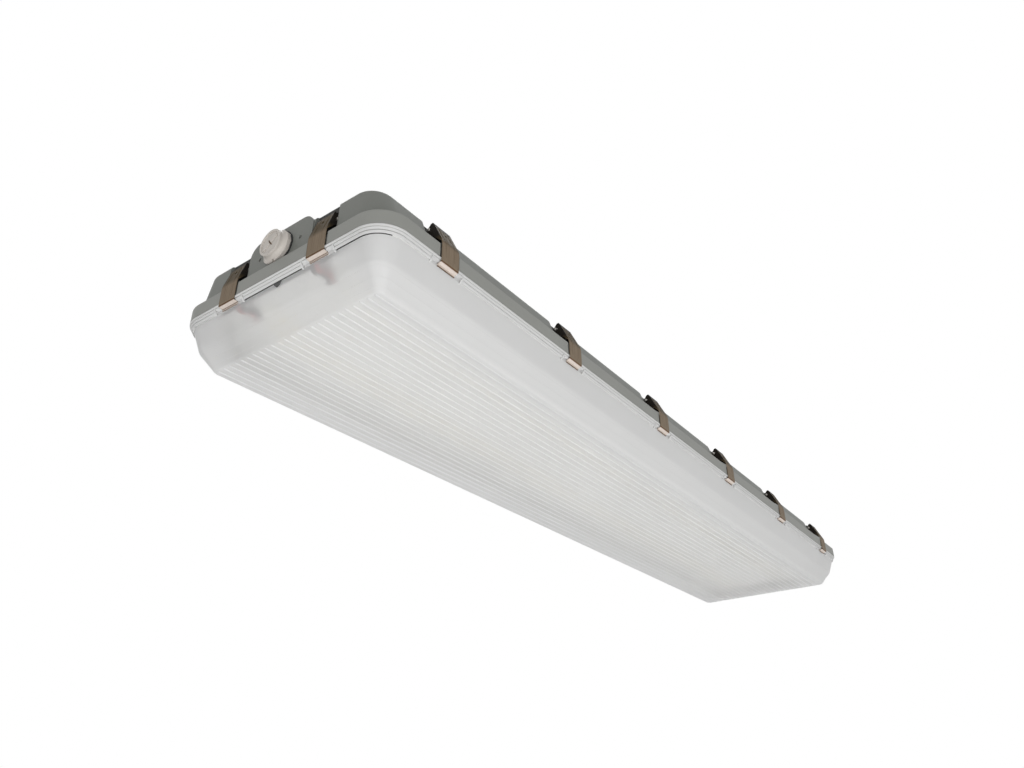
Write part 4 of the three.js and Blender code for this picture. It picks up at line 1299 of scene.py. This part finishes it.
def build_latches():
    """A strap and a pin at each place, as copies of one of each form."""
    made = {form: (build_strap(f"strap_{label}", form), build_pin(f"rod_{label}", form))
            for label, form in (("side", SIDE_LATCH), ("end", END_LATCH))}
    for name, form, matrix in PLACES:
        strap, pin = made[form]
        where = Matrix.Translation(matrix.translation * MM) @ matrix.to_3x3().to_4x4()
        copied(strap, f"strap_{name}", where, f"latch_{name}", "latch_steel", "strap", f"latch_{name}")
        copied(pin, f"rod_{name}", where, "fixture", "pin_steel", "pin", f"pin_{name}")
    for strap, pin in made.values():
        bpy.data.objects.remove(strap)
        bpy.data.objects.remove(pin)


def build_gear():
    """What shows through the lens: the wings, the LED chips and the leads."""
    dress(build_wings(), "fixture", "tray_enamel", "enamel")
    dress(build_chips(), "fixture", "led_board", "chip")
    for i, row in enumerate((-1, 1)):
        for colour, strand in (("red", row), ("black", -row)):
            lead = build_lead(f"wire_{colour}_{i + 1}", row, strand)
            dress(lead, "fixture", f"lead_{colour}", colour, f"lead_{colour}_{i + 1}")


def build_object():
    dress(build_housing(), "fixture", "housing_shell", None, "housing")
    dress(build_lens(), "fixture", "lens_frosted", None, "lens")
    dress(build_hub(), "fixture", "entry_plastic", "entry", "entry_hub")
    dress(build_plug(), "plug", "entry_plastic", None, "entry_plug")
    dress(build_tab(), "fixture", "gasket_rubber", "tab")
    build_gear()
    build_latches()
    for finish, names in NODE_FINISHES.items():
        for name in names:
            put(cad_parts[name], finish)


def build_floor():
    mesh = bpy.data.meshes.new("floor")
    corners = [(sx * FLOOR_SIZE / 2, sy * FLOOR_SIZE / 2, FLOOR_Z) for sx, sy in CORNERS]
    mesh.from_pydata(corners, [], [(0, 1, 2, 3)])
    floor = linked("floor", mesh)
    paint = grained("floor_paint", (0.86, 0.86, 0.855), 0.01, 2, 300, (0.7, 0.8), 0.05)
    tree = paint.node_tree
    shown = add_node(tree, "ShaderNodeLightPath", {}).outputs["Is Camera Ray"]
    feed(tree, tree.nodes["Principled BSDF"], {
        "Emission Color": (*WHITE, 1), "Emission Strength": ranged(tree, shown, 0.0, FLOOR_WHITE, 0.0, 1.0)})
    mesh.materials.append(paint)


def build_world():
    """White for the camera, gloss and glass, and a plain soft light for everything else."""
    world = bpy.data.worlds.new("studio")
    bpy.context.scene.world = world
    world.use_nodes = True
    tree = world.node_tree
    rays = add_node(tree, "ShaderNodeLightPath", {}).outputs
    seen = computed(tree, "MAXIMUM", rays["Is Camera Ray"], rays["Is Glossy Ray"])
    seen = computed(tree, "MAXIMUM", seen, rays["Is Transmission Ray"])
    feed(tree, tree.nodes["Background"], {
        "Color": (*WHITE, 1), "Strength": ranged(tree, seen, WORLD_LIGHT, 1.0, 0.0, 1.0)})


def build_lamps():
    for name, place, size, power in LAMPS:
        lamp = bpy.data.lights.new(name, "AREA")
        lamp.shape = "DISK"
        lamp.size = size
        lamp.energy = power
        obj = linked(name, lamp)
        obj.location = place
        obj.rotation_mode = "QUATERNION"
        obj.rotation_quaternion = (-Vector(place)).to_track_quat("-Z", "Y")


def build_camera():
    data = bpy.data.cameras.new("camera")
    camera = linked("camera", data)
    back = -Vector(CAMERA_FORWARD).normalized()
    right = Vector(CAMERA_UP).cross(back).normalized()
    above = back.cross(right)
    turn = Matrix((right, above, back)).transposed()
    camera.matrix_world = Matrix.Translation(Vector(CAMERA_PLACE) * MM) @ turn.to_4x4()
    data.sensor_width = SENSOR_WIDTH
    data.lens = FOCAL_PIXELS * SENSOR_WIDTH / IMAGE_WIDTH
    data.clip_start, data.clip_end = CAMERA_REACH
    bpy.context.scene.camera = camera


bpy.context.scene.view_settings.view_transform = "Standard"
build_object()
build_floor()
build_world()
build_lamps()
build_camera()
